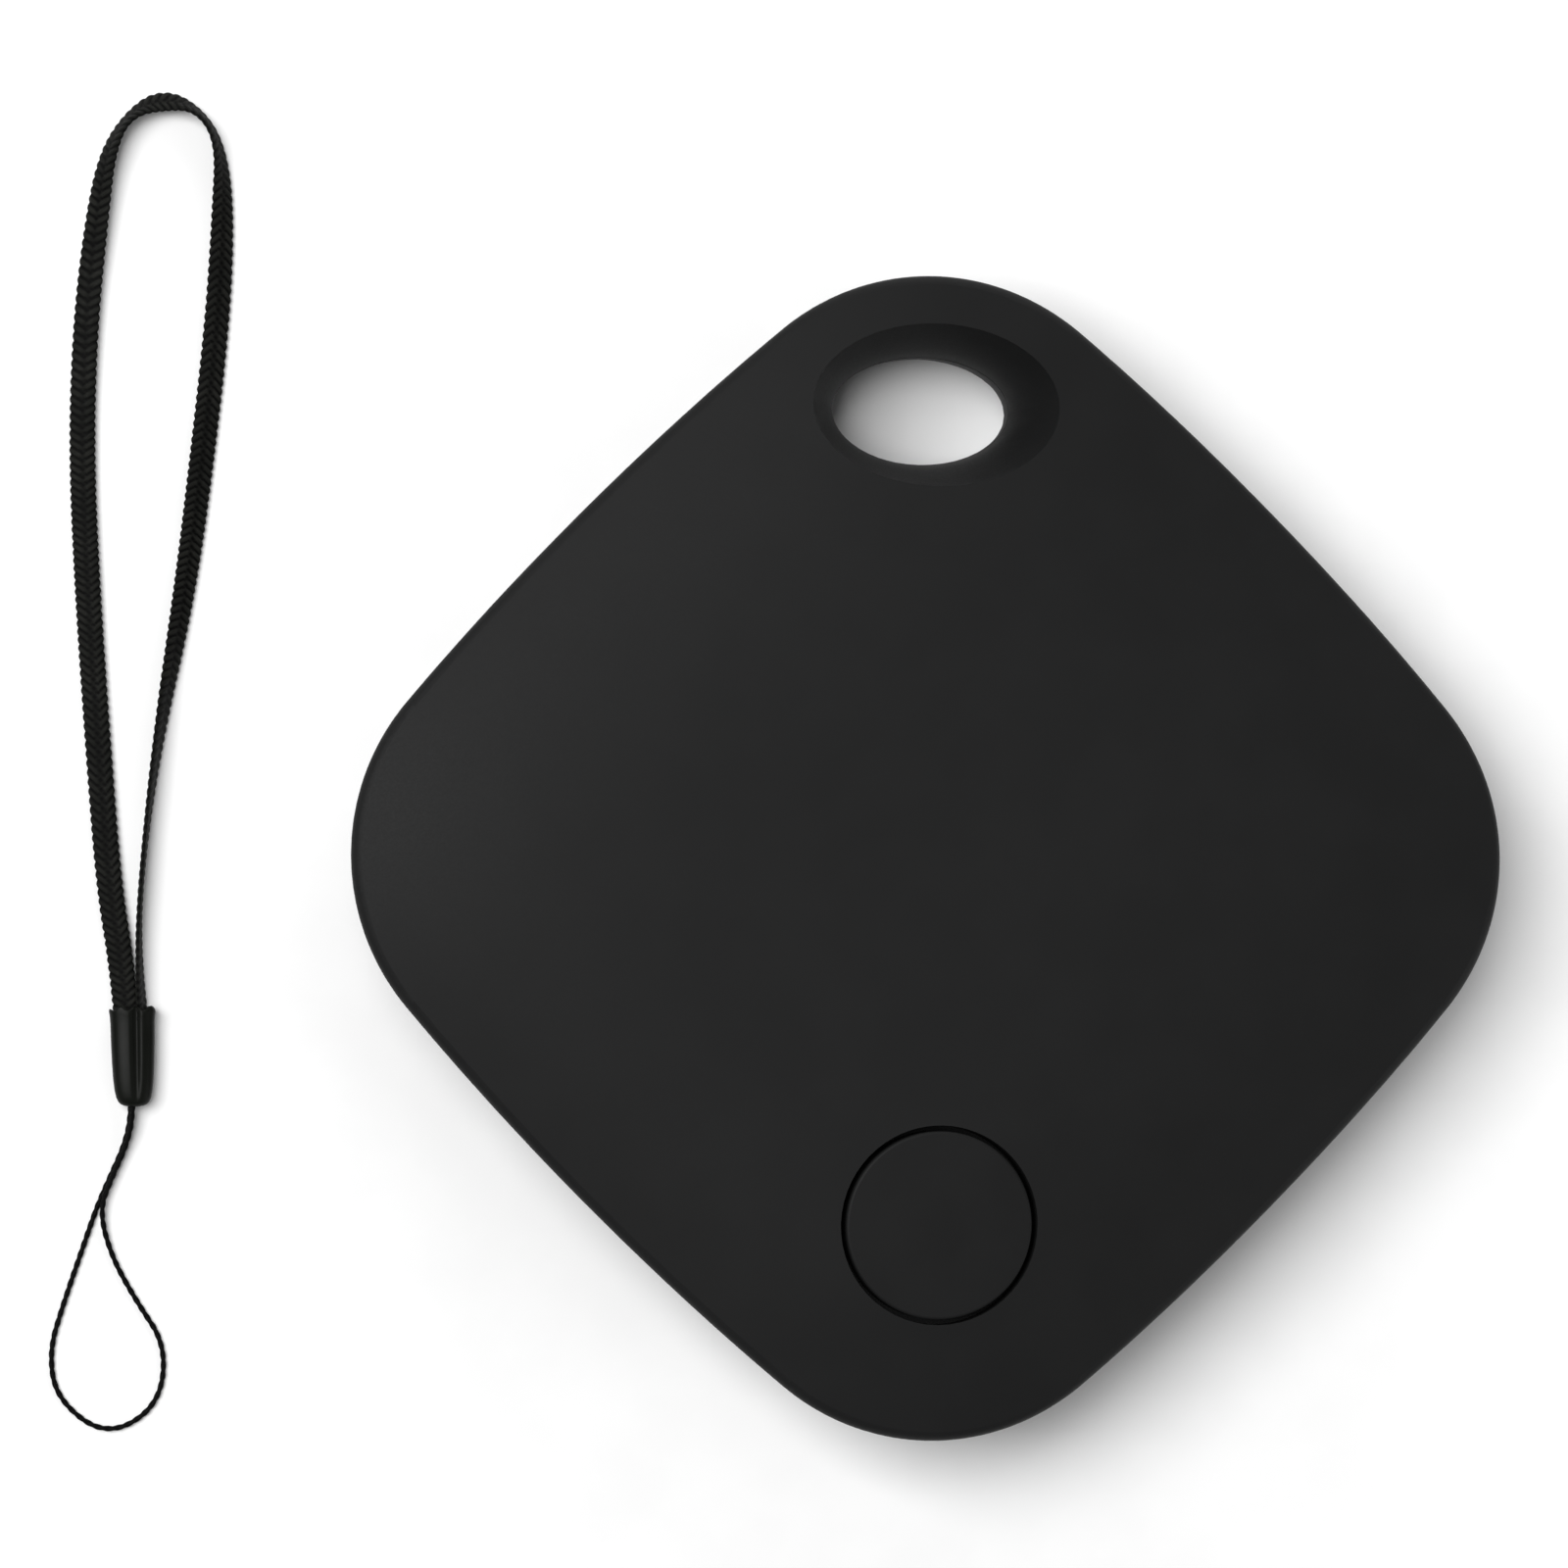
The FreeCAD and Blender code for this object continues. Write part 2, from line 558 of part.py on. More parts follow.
def make_battery():
    along = "dims.cell_along"
    cell_high = "dims.cell_low + dims.cell_height"
    can_low = "dims.cell_low + 0.2"
    drum = cylinder("can_drum", "dims.cell_radius", can_low, cell_high, along=along)
    mouth = cylinder("can_mouth", "dims.crimp_radius", "dims.cell_low - 1", f"{can_low} + 0.35", along=along)
    can = cut("can_turned", drum, mouth)

    def is_outer_edge(edge):
        return edge.Length > 2 * math.pi * (size("cell_radius") - 0.1)

    keep(rounded("battery_can", can, 0.3, is_outer_edge), "battery_can")
    cap_high = f"{can_low} + 0.3"
    keep(cylinder("battery_cap", "dims.cap_radius", "dims.cell_low", cap_high, along=along), "battery_cap")
    gasket_outer = cylinder("gasket_outer", "dims.crimp_radius - 0.02", f"{can_low} - 0.08", cap_high,
                            along=along)
    gasket_inner = cylinder("gasket_inner", "dims.cap_radius + 0.02", "dims.cell_low - 1", f"{cap_high} + 1",
                            along=along)
    keep(cut("battery_gasket", gasket_outer, gasket_inner), "battery_gasket")


def make_cradle():
    """A ring that holds the cell, open at the right for its contact and low at the left for a finger."""
    along = "dims.cell_along"
    inner = "dims.cell_radius + dims.cradle_slip"
    ring = cylinder("cradle_ring", f"{inner} + dims.cradle_wall", "dims.board_high", "dims.cradle_high",
                    along=along)
    bore = cylinder("cradle_bore", inner, "dims.cell_low + 0.15", "dims.cradle_high + 1", along=along)
    window = cylinder("cradle_window", "dims.crimp_radius + 0.1", "dims.board_high - 1",
                      "dims.cradle_high + 1", along=along)
    gap = block("contact_gap", "6", "dims.contact_gap", "dims.board_high - 1", "dims.cradle_high + 1",
                "dims.cell_radius + 1.5", along)
    scoop = block("finger_scoop", "6", "dims.scoop_width", "dims.cradle_high - 1", "dims.cradle_high + 1",
                  "-dims.cell_radius", along)
    keep(cut("battery_cradle", ring, fuse("cradle_cuts", bore, window, gap, scoop)), "battery_cradle")


def make_battery_contacts():
    along, face = "dims.cell_along", "dims.cell_radius + 0.08"
    leaf = block("positive_leaf", "dims.contact_skin", "dims.contact_width", "dims.board_high",
                 "dims.cradle_high + 0.5", f"{face} + dims.contact_skin / 2", along)
    foot = block("positive_foot", "2.4", "dims.contact_width", "dims.board_high", "dims.board_high + dims.skin",
                 f"{face} + 1.2", along)
    keep(fuse("battery_contact_positive", leaf, foot), "battery_contact_positive")
    strip_high = "dims.board_high + dims.strip_skin"
    strip = block("negative_strip", "dims.strip_length", "dims.strip_width", "dims.board_high", strip_high,
                  along=along)
    bump = doc.addObject("Part::Cone", "negative_bump")
    bind(bump, {"Radius1": "1.3", "Radius2": "0.7", "Height": "0.2"})
    place(bump, along=along, up=f"{strip_high} - dims.slip")
    keep(fuse("battery_contact_negative", strip, bump), "battery_contact_negative")


# Sounder behind the sound holes

def make_sounder():
    along, skin = "dims.cell_along", "dims.sounder_skin"
    plate_high = f"dims.sounder_low + {skin}"
    ceramic_high = f"{plate_high} + {skin}"
    keep(cylinder("buzzer_plate", "dims.sounder_radius", "dims.sounder_low", plate_high, along=along),
         "buzzer_plate")
    keep(cylinder("buzzer_ceramic", "dims.ceramic_radius", plate_high, ceramic_high, along=along),
         "buzzer_ceramic")
    springs = []
    for name, across, low in (("ceramic_spring", "2.5", ceramic_high), ("plate_spring", "6.4", plate_high)):
        width, thick = "dims.spring_width", "dims.spring_skin"
        toe = block(f"{name}_toe", "1", width, low, f"{low} + {thick}", across, along)
        leg = block(f"{name}_leg", thick, width, low, "dims.board_low", f"{across} - 0.44", along)
        foot = block(f"{name}_foot", "1.4", width, f"dims.board_low - {thick}", "dims.board_low",
                     f"{across} - 0.7", along)
        springs.append(fuse(name, toe, leg, foot))
    keep(group("buzzer_contacts", *springs), "buzzer_contacts")


# Lanyard, laid out beside the tag

def rounded_path(points):
    """Straight runs joined by tangent arcs, each as large as its two runs allow, and the arcs' radii."""
    share = 0.45
    edges, radii = [], []
    last = points[0]
    for before, corner, after in zip(points, points[1:], points[2:]):
        back, ahead = before - corner, after - corner
        turn = math.pi - back.getAngle(ahead)
        trim = share * min(back.Length, ahead.Length)
        radii.append(trim / math.tan(turn / 2))
        start = corner + back.normalize() * trim
        end = corner + ahead.normalize() * trim
        bisector = (back + ahead).normalize()
        middle = corner + bisector * radii[-1] * (1 / math.cos(turn / 2) - 1)
        edges.append(Part.LineSegment(last, start).toShape())
        edges.append(Part.Arc(start, middle, end).toShape())
        last = end
    edges.append(Part.LineSegment(last, points[-1]).toShape())
    return Part.Wire(edges), radii


def tube(name, points, diameter):
    """A round tube along the path; prints its radii and compares its volume with section times length."""
    path, radii = rounded_path(points)
    direction = points[1] - points[0]
    ring = Part.Circle(points[0], direction, diameter / 2).toShape()
    item = doc.addObject("Part::Feature", name)
    item.Shape = path.makePipeShell([Part.Wire(ring)], True, False)
    expected = math.pi * diameter ** 2 / 4 * path.Length
    print(f"{name}: length {path.Length:.2f}, volume {item.Shape.Volume:.4f} for {expected:.4f},",
          "radii", " ".join(f"{radius:.2f}" for radius in radii))
    return keep(item, name)


def make_lanyard():
    level = size("strap_level")
    tube("lanyard_strap", [Vector(x, y, level) for x, y in STRAP_ROUTE], size("strap_tube"))
    tube("lanyard_string", [Vector(*point) for point in STRING_ROUTE], size("string_tube"))


def make_cord_end():
    """A tapered moulding with rounded edges; the strap enters its wide face, the string leaves its tip."""
    body = doc.addObject("PartDesign::Body", "cord_end")
    plane = next(item for item in body.Origin.OriginFeatures if item.Role == "XZ_Plane")
    sketch = body.newObject("Sketcher::SketchObject", "cord_end_section")
    sketch.AttachmentSupport = (plane, [""])
    sketch.MapMode = "FlatFace"
    width, height = size("cord_end_width"), size("cord_end_height")
    corners = [Vector(-width / 2, 0, 0), Vector(width / 2, 0, 0), Vector(width / 2, height, 0),
               Vector(-width / 2, height, 0)]
    for first, second in zip(corners, corners[1:] + corners[:1]):
        sketch.addGeometry(Part.LineSegment(first, second))
    for side in range(4):
        sketch.addConstraint(Sketcher.Constraint("Coincident", side, 2, (side + 1) % 4, 1))
    for side, kind in enumerate(("Horizontal", "Vertical", "Horizontal", "Vertical")):
        sketch.addConstraint(Sketcher.Constraint(kind, side))
    sketch.addConstraint(Sketcher.Constraint("Symmetric", 0, 1, 0, 2, -1, 1))
    across = sketch.addConstraint(Sketcher.Constraint("DistanceX", 0, 1, 0, 2, width))
    up = sketch.addConstraint(Sketcher.Constraint("DistanceY", 1, 1, 1, 2, height))
    sketch.setExpression(f"Constraints[{across}]", "dims.cord_end_width")
    sketch.setExpression(f"Constraints[{up}]", "dims.cord_end_height")
    pad = body.newObject("PartDesign::Pad", "cord_end_pad")
    pad.Profile = sketch
    pad.TaperAngle = -3
    bind(pad, {"Length": "dims.cord_end_length"})
    doc.recompute()
    long_edges = [f"Edge{number}" for number in edges_where(pad, lambda edge: edge.Length > 3)]
    tip_edges = [f"Edge{number}" for number in edges_where(
        pad, lambda edge: edge.BoundBox.YMax < -size("cord_end_length") + 0.01)]
    fillet = body.newObject("PartDesign::Fillet", "cord_end_rounding")
    fillet.Base = (pad, long_edges + tip_edges)
    fillet.Radius = 0.35
    body.Tip = fillet
    place(body, "dims.cord_end_across", "dims.cord_end_top")
    keep(body, "lanyard_crimp")


def check_and_export():
    """Writes nothing unless every object and every sub-part's solid is sound."""
    doc.recompute()
    for item in doc.Objects:
        if "Invalid" in item.State or "Error" in item.State:
            raise RuntimeError(f"{item.Name} failed: {item.State}")
    for item in parts:
        shape = item.Shape
        if shape.isNull() or not shape.isValid() or not shape.Solids:
            raise RuntimeError(f"{item.Label} has no valid solid")
    os.makedirs("parts", exist_ok=True)
    for item in parts:
        box = item.Shape.BoundBox
        print(f"{item.Label}: {len(item.Shape.Solids)} solid(s), {item.Shape.Volume:.3f} mm3,",
              f"x {box.XMin:.2f} {box.XMax:.2f}, y {box.YMin:.2f} {box.YMax:.2f},",
              f"z {box.ZMin:.2f} {box.ZMax:.2f}")
        item.Shape.exportStep(f"parts/{item.Label}.step")


outline = outline_sketch()
make_front_cover()
make_rear_cover()
make_case_seal()
make_button()
make_circuit_board()
make_board_screws()
make_board_parts()
make_switch()
make_battery()
make_cradle()
make_battery_contacts()
make_sounder()
make_lanyard()
make_cord_end()
check_and_export()
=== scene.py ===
import math

import bmesh
import bpy
from mathutils import Matrix, Vector


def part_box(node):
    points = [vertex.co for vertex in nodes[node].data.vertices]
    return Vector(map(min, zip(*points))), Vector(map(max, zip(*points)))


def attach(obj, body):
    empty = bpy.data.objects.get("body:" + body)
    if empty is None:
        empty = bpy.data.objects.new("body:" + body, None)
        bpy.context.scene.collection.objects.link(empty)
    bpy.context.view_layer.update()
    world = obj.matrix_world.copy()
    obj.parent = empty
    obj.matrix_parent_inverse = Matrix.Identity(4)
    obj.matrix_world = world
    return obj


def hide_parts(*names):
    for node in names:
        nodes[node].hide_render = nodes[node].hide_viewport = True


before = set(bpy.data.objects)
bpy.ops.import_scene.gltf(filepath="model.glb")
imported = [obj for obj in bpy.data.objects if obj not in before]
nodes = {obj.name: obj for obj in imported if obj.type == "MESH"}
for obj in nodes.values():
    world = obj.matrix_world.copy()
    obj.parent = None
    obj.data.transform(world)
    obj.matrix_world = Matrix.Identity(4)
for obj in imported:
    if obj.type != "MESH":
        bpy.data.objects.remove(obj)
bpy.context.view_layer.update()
MM = 0.001

# Camera, about 8.5 degrees left of the face's normal and 2.3 degrees below it, with +Y up in the view

SENSOR_WIDTH = 36.0
LENS = 150.0
VIEW_WIDTH = 64.0 * MM
LOOK_AT = Vector((-5.75, 3.00, 4.0)) * MM
TOWARDS_CAMERA = Vector((-0.148, -0.04, 0.988)).normalized()

# Lanyard, close to the tubes of the part's source. Route points are in millimetres. The strap's are x, y and its
# turn about its own line in degrees, from 0 lying on its face to 90 standing on its edge.

STRAP_ROUTE = (
    (-32.26, -6.60, 14), (-32.46, -4.40, 10), (-33.00, -1.20, 6), (-33.45, 4.40, 4), (-33.90, 10.60, 6),
    (-34.20, 16.60, 8), (-34.05, 21.90, 14), (-33.60, 26.20, 30), (-33.20, 28.80, 56), (-32.40, 30.34, 76),
    (-30.95, 31.08, 26), (-29.50, 30.68, 76), (-28.60, 29.30, 70), (-28.45, 26.60, 30), (-28.65, 22.20, 12),
    (-29.25, 16.60, 14), (-29.95, 11.00, 30), (-31.10, 4.60, 70), (-31.74, -0.90, 90), (-31.82, -4.40, 78),
    (-31.62, -6.60, 66),
)
STRAP_WIDTH = 1.08 * MM
STRAP_THICKNESS = 0.25 * MM
STRAP_CLEARANCE = 0.03 * MM
STRAP_SIDES = 36
RINGS_PER_STITCH = 8
STITCH_PITCH = 0.35 * MM
STITCH_SLANT = 1.05
STITCH_DRIFT = 0.8
SLANT_DRIFT = 0.3
DRIFT_LENGTH = 3.1 * MM
EDGE_RELIEF = 0.12
FACE_RELIEF = 0.45
COLUMN_RELIEF = 0.38

STRING_ROUTE = (
    (-32.09, -9.80, 0.50), (-32.09, -10.70, 0.38), (-32.36, -11.80, 0.16), (-32.90, -13.00, 0.12),
    (-33.46, -14.30, 0.12), (-34.00, -15.90, 0.12), (-34.72, -18.00, 0.12), (-35.35, -20.10, 0.12),
    (-35.00, -22.05, 0.12), (-33.00, -23.55, 0.12), (-30.90, -22.35, 0.12), (-30.58, -19.90, 0.12),
    (-31.85, -18.00, 0.12), (-32.85, -16.20, 0.14), (-33.34, -14.35, 0.34), (-32.82, -13.00, 0.35),
    (-32.28, -11.80, 0.39), (-32.01, -10.70, 0.61), (-32.01, -9.80, 0.73),
)
STRING_WIDTH = 0.23 * MM
STRING_SIDES = 14
RINGS_PER_PLY = 12
PLY_PITCH = 0.42 * MM
PLY_RELIEF = 0.30
ROUTE_STEPS = 24

# Cord end, in millimetres. Stations: distance from the lip, half width and half height, from the open lip to the
# closed tip.

CORD_END_MIDDLE = Vector((-32.05, -6.15, 0.60)) * MM
CORD_END_STATIONS = (
    (0.00, 0.93, 0.59), (0.10, 0.95, 0.60), (0.28, 0.92, 0.58), (0.60, 0.90, 0.56), (1.40, 0.885, 0.555),
    (2.20, 0.86, 0.545), (2.90, 0.82, 0.53), (3.35, 0.77, 0.51), (3.62, 0.71, 0.48), (3.80, 0.63, 0.44),
    (3.90, 0.53, 0.38), (3.96, 0.40, 0.30), (4.00, 0.16, 0.14),
)
CORD_END_MOUTH = ((0.02, 0.84, 0.50), (0.30, 0.80, 0.46), (0.90, 0.76, 0.42))
CORD_END_LENGTH = 4.0
CORD_END_SIDES = 72
CORD_END_SHIFT = 0.08
GROOVE_PLACE = 0.14
GROOVE_WIDTH = 0.13
GROOVE_DEPTH = 0.36
MOUTH_GROOVE_DEPTH = 0.30
GROOVE_FADE = 1.2
LIP_LENGTH = 0.5
LIP_WAVE = 0.10


def make_camera():
    """A long lens square to the line of sight, with +Y upright."""
    data = bpy.data.cameras.new("camera")
    data.sensor_width = SENSOR_WIDTH
    data.lens = LENS
    camera = bpy.data.objects.new("camera", data)
    right = Vector((0, 1, 0)).cross(TOWARDS_CAMERA).normalized()
    up = TOWARDS_CAMERA.cross(right)
    camera.matrix_world = Matrix.Translation(LOOK_AT + TOWARDS_CAMERA * VIEW_WIDTH * LENS / SENSOR_WIDTH) @ (
        Matrix((right, up, TOWARDS_CAMERA)).transposed().to_4x4()
    )
    bpy.context.scene.collection.objects.link(camera)
    bpy.context.scene.camera = camera


# Materials. The colours are fitted to the strong light at the end of this script.

SEAM_HEIGHT = 3.45 * MM


class Finish:
    """A procedural material whose patterns lie in the part's own coordinates, in metres."""

    def __init__(self, name, **sockets):
        self.material = bpy.data.materials.new(name)
        self.material.use_nodes = True
        self.tree = self.material.node_tree
        self.shader = self.tree.nodes["Principled BSDF"]
        for socket, value in sockets.items():
            self.shader.inputs[socket.replace("_", " ")].default_value = value
        self.place = self.tree.nodes.new("ShaderNodeTexCoord").outputs["Object"]

    def feed(self, socket, value):
        if isinstance(value, bpy.types.NodeSocket):
            self.tree.links.new(value, socket)
        else:
            socket.default_value = value

    def shader_input(self, name, value):
        self.feed(self.shader.inputs[name], value)

    def scaled(self, factors, turn=0.0, source=None):
        """The part's coordinates stretched along each axis and turned about Z."""
        mapping = self.tree.nodes.new("ShaderNodeMapping")
        self.feed(mapping.inputs["Vector"], source or self.place)
        mapping.inputs["Scale"].default_value = factors
        mapping.inputs["Rotation"].default_value = (0, 0, turn)
        return mapping.outputs["Vector"]

    def noise(self, grain, detail=2.0, source=None):
        """Soft blotches about grain metres across, from 0 to 1."""
        texture = self.tree.nodes.new("ShaderNodeTexNoise")
        self.feed(texture.inputs["Vector"], source or self.place)
        texture.inputs["Scale"].default_value = 1 / grain
        texture.inputs["Detail"].default_value = detail
        return texture.outputs["Fac"]

    def cells(self, grain, source=None):
        """The distance from the middle of the nearest of many cells about grain metres across."""
        texture = self.tree.nodes.new("ShaderNodeTexVoronoi")
        self.feed(texture.inputs["Vector"], source or self.place)
        texture.inputs["Scale"].default_value = 1 / grain
        return texture.outputs["Distance"]

    def axis(self, name, source=None):
        """One coordinate of the place."""
        split = self.tree.nodes.new("ShaderNodeSeparateXYZ")
        self.feed(split.inputs[0], source or self.place)
        return split.outputs[name]

    def combine(self, operation, first, second=0.0, third=0.0):
        """One or more values put through a named sum."""
        node = self.tree.nodes.new("ShaderNodeMath")
        node.operation = operation
        for socket, value in zip(node.inputs, (first, second, third)):
            self.feed(socket, value)
        return node.outputs[0]

    def half_and_half(self, first, second):
        """The mean of two values."""
        return self.combine("MULTIPLY_ADD", first, 0.5, self.combine("MULTIPLY", second, 0.5))

    def stored_vector(self, name):
        """A vector stored on the mesh's points."""
        stored = self.tree.nodes.new("ShaderNodeAttribute")
        stored.attribute_name = name
        return stored.outputs["Vector"]

    def spread(self, value, low, high, to_low=0.0, to_high=1.0):
        """The value's range from low to high, mapped smoothly to another range."""
        node = self.tree.nodes.new("ShaderNodeMapRange")
        node.interpolation_type = "SMOOTHSTEP"
        for name, number in (("Value", value), ("From Min", low), ("From Max", high),
                             ("To Min", to_low), ("To Max", to_high)):
            self.feed(node.inputs[name], number)
        return node.outputs["Result"]

    def mixed(self, amount, first, second):
        """A colour between two others."""
        node = self.tree.nodes.new("ShaderNodeMix")
        node.data_type = "RGBA"
        self.feed(node.inputs["Factor"], amount)
        for name, colour in (("A", first), ("B", second)):
            socket = next(s for s in node.inputs if s.name == name and s.type == "RGBA")
            self.feed(socket, colour if isinstance(colour, bpy.types.NodeSocket) else (*colour, 1))
        return next(s for s in node.outputs if s.type == "RGBA")

    def colour(self, value):
        self.shader_input("Base Color", value)

    def roughness(self, value, low, high):
        self.shader_input("Roughness", self.spread(value, 0.3, 0.7, low, high))

    def bump(self, height, depth, under=None):
        """Raises the surface by depth metres where height is 1."""
        node = self.tree.nodes.new("ShaderNodeBump")
        node.inputs["Strength"].default_value = 1.0
        node.inputs["Distance"].default_value = depth
        self.feed(node.inputs["Height"], height)
        if under is not None:
            self.feed(node.inputs["Normal"], under)
        self.shader_input("Normal", node.outputs["Normal"])
        return node.outputs["Normal"]


def moulded(name, dark, light, grain, depth, rough, **sockets):
    """Moulded plastic: a fine spark-eroded grain, faint flow marks and small changes of gloss."""
    finish = Finish(name, **sockets)
    flow = finish.noise(2.4 * MM, 3.0)
    fine = finish.noise(grain, 2.0)
    finish.colour(finish.mixed(finish.spread(flow, 0.3, 0.7), dark, light))
    gloss = finish.combine("MULTIPLY_ADD", fine, 0.4, finish.combine("MULTIPLY", flow, 0.6))
    finish.roughness(gloss, *rough)
    waves = finish.bump(finish.noise(1.1 * MM), 0.0012 * MM)
    finish.bump(fine, depth, waves)
    return finish.material


def case_finish():
    """The case's satin plastic, rubbed a little lighter along the middle of the gap between the shells."""
    finish = Finish("case_plastic", Specular_IOR_Level=0.10)
    flow = finish.noise(3.4 * MM, 2.0)
    fine = finish.noise(0.075 * MM, 2.0)
    from_seam = finish.combine("ABSOLUTE", finish.combine("SUBTRACT", finish.axis("Z"), SEAM_HEIGHT))
    near_seam = finish.spread(from_seam, 0.30 * MM, 0.05 * MM)
    rubbed = finish.combine("MULTIPLY", near_seam, finish.spread(flow, 0.35, 0.65))
    plain = finish.mixed(finish.spread(flow, 0.25, 0.75), (0.0086, 0.0087, 0.0088), (0.0096, 0.0097, 0.0098))
    finish.colour(finish.mixed(rubbed, plain, (0.018, 0.018, 0.018)))
    gloss = finish.combine("MULTIPLY_ADD", fine, 0.8, finish.combine("MULTIPLY", flow, 0.2))
    finish.roughness(gloss, 0.50, 0.57)
    finish.bump(fine, 0.0020 * MM, finish.bump(finish.noise(1.3 * MM), 0.0006 * MM))
    return finish.material


def brushed(name, dark, light, rough):
    """Rolled or brushed metal: fine lines along Y, blotches of oxide and changes of gloss."""
    finish = Finish(name, Metallic=1.0)
    lines = finish.noise(0.05 * MM, 2.0, finish.scaled((1, 0.03, 1)))
    stain = finish.noise(1.3 * MM, 3.0)
    finish.colour(finish.mixed(finish.half_and_half(lines, stain), dark, light))
    finish.roughness(lines, *rough)
    finish.bump(lines, 0.0008 * MM)
    return finish.material


def turned_metal(name, middle, dark, light, rough):
    """Metal with lines round its middle, as a lathe or a spinning pad leaves them."""
    finish = Finish(name, Metallic=1.0)
    across = finish.combine("SUBTRACT", finish.axis("X"), middle.x)
    along = finish.combine("SUBTRACT", finish.axis("Y"), middle.y)
    squares = [finish.combine("MULTIPLY", way, way) for way in (across, along)]
    radius = finish.combine("SQRT", finish.combine("ADD", *squares))
    place = finish.tree.nodes.new("ShaderNodeCombineXYZ")
    finish.feed(place.inputs["X"], radius)
    finish.feed(place.inputs["Y"], finish.combine("MULTIPLY", finish.axis("Z"), 0.3))
    lines = finish.noise(0.07 * MM, 3.0, place.outputs[0])
    stain = finish.noise(2.0 * MM, 4.0)
    finish.colour(finish.mixed(finish.half_and_half(lines, stain), dark, light))
    finish.roughness(lines, *rough)
    finish.bump(lines, 0.0012 * MM)
    return finish.material


TRACK_PITCH = 0.55 * MM


def board_finish():
    """Green solder mask over short straight copper runs, with a darker weave showing through."""
    finish = Finish("board", Specular_IOR_Level=0.5, Coat_Weight=0.35, Coat_Roughness=0.25)
    weave = finish.cells(0.35 * MM, finish.scaled((1, 1, 0)))
    patches = finish.noise(2.2 * MM, 1.0)
    tracks = []
    for axis, turn in (("X", 0.0), ("Y", 5.0)):
        place = finish.combine("MULTIPLY", finish.axis(axis), 1 / TRACK_PITCH)
        line = finish.combine("PINGPONG", place, 0.5)
        run = finish.noise(1.8 * MM, 0.0, finish.scaled((1, 1, 1), turn))
        on_line, on_run = finish.spread(line, 0.20, 0.16), finish.spread(run, 0.50, 0.52)
        tracks.append(finish.combine("MULTIPLY", on_line, on_run))
    copper = finish.combine("MAXIMUM", *tracks)
    ground = finish.mixed(finish.spread(patches, 0.35, 0.65), (0.006, 0.055, 0.026), (0.010, 0.080, 0.036))
    ground = finish.mixed(finish.spread(weave, 0.0, 0.6, 0.0, 0.35), ground, (0.004, 0.036, 0.018))
    finish.colour(finish.mixed(copper, ground, (0.030, 0.170, 0.070)))
    finish.roughness(patches, 0.30, 0.42)
    finish.bump(copper, 0.012 * MM)
    return finish.material


def ceramic(name, dark, light, rough):
    """Fired or glazed ceramic, finely speckled."""
    finish = Finish(name, Specular_IOR_Level=0.45)
    speck = finish.noise(0.10 * MM, 4.0)
    finish.colour(finish.mixed(finish.spread(speck, 0.35, 0.65), dark, light))
    finish.roughness(speck, *rough)
    finish.bump(speck, 0.003 * MM)
    return finish.material


def foam_finish():
    """Open cells, with painted shade in the pores that the bump sinks."""
    finish = Finish("foam", Specular_IOR_Level=0.2)
    pores = finish.cells(0.16 * MM)
    # Painted shade: darker where the cell distance is large, the same places that the bump sinks into pores.
    finish.colour(finish.mixed(finish.spread(pores, 0.15, 0.6), (0.055, 0.055, 0.058), (0.012, 0.012, 0.013)))
    finish.roughness(pores, 0.85, 0.95)
    finish.bump(pores, -0.05 * MM)
    return finish.material


def silicone_finish():
    """Cloudy grey rubber with a little dust on it."""
    finish = Finish("silicone", Specular_IOR_Level=0.4, Subsurface_Weight=0.25, Subsurface_Scale=0.0006)
    cloud = finish.noise(0.9 * MM, 3.0)
    dust = finish.noise(0.06 * MM, 2.0)
    finish.colour(finish.mixed(finish.spread(cloud, 0.3, 0.7), (0.36, 0.38, 0.40), (0.47, 0.49, 0.50)))
    finish.roughness(dust, 0.45, 0.60)
    finish.bump(dust, 0.003 * MM)
    return finish.material


def solder_finish():
    """Bright tin, frosted in places."""
    finish = Finish("solder", Metallic=1.0)
    frost = finish.noise(0.12 * MM, 3.0)
    finish.colour(finish.mixed(finish.spread(frost, 0.3, 0.7), (0.50, 0.50, 0.51), (0.74, 0.74, 0.75)))
    finish.roughness(frost, 0.20, 0.38)
    finish.bump(frost, 0.006 * MM)
    return finish.material


def braid_finish():
    """Polyester yarn: fine filaments along the strap, with painted shade in the gaps between the yarns and the
    plain yarn colour on the crests.
    """
    finish = Finish("braid", Specular_IOR_Level=0.05, Sheen_Weight=0.01, Sheen_Roughness=0.5)
    yarn = finish.stored_vector("stitch")
    crest = finish.axis("Z", yarn)
    filaments = finish.noise(0.028 * MM, 2.0, finish.scaled((1, 0.12, 0), source=yarn))
    tone = finish.noise(1.7 * MM, 2.0)
    dark, light = (0.0086, 0.0090, 0.0078), (0.0140, 0.0142, 0.0124)
    yarn_colour = finish.mixed(finish.spread(tone, 0.3, 0.7), dark, light)
    # Painted shade: the colour falls to near black where the stored crest height drops into the gaps between the
    # yarns.
    painted_gap_shade = finish.mixed(finish.spread(crest, 0.22, 0.88), (0.0004, 0.0004, 0.0004), yarn_colour)
    dimmed = finish.spread(filaments, 0.35, 0.7, 0.0, 0.45)
    finish.colour(finish.mixed(dimmed, painted_gap_shade, (0.0030, 0.0032, 0.0028)))
    finish.roughness(filaments, 0.50, 0.68)
    finish.bump(filaments, 0.014 * MM)
    return finish.material


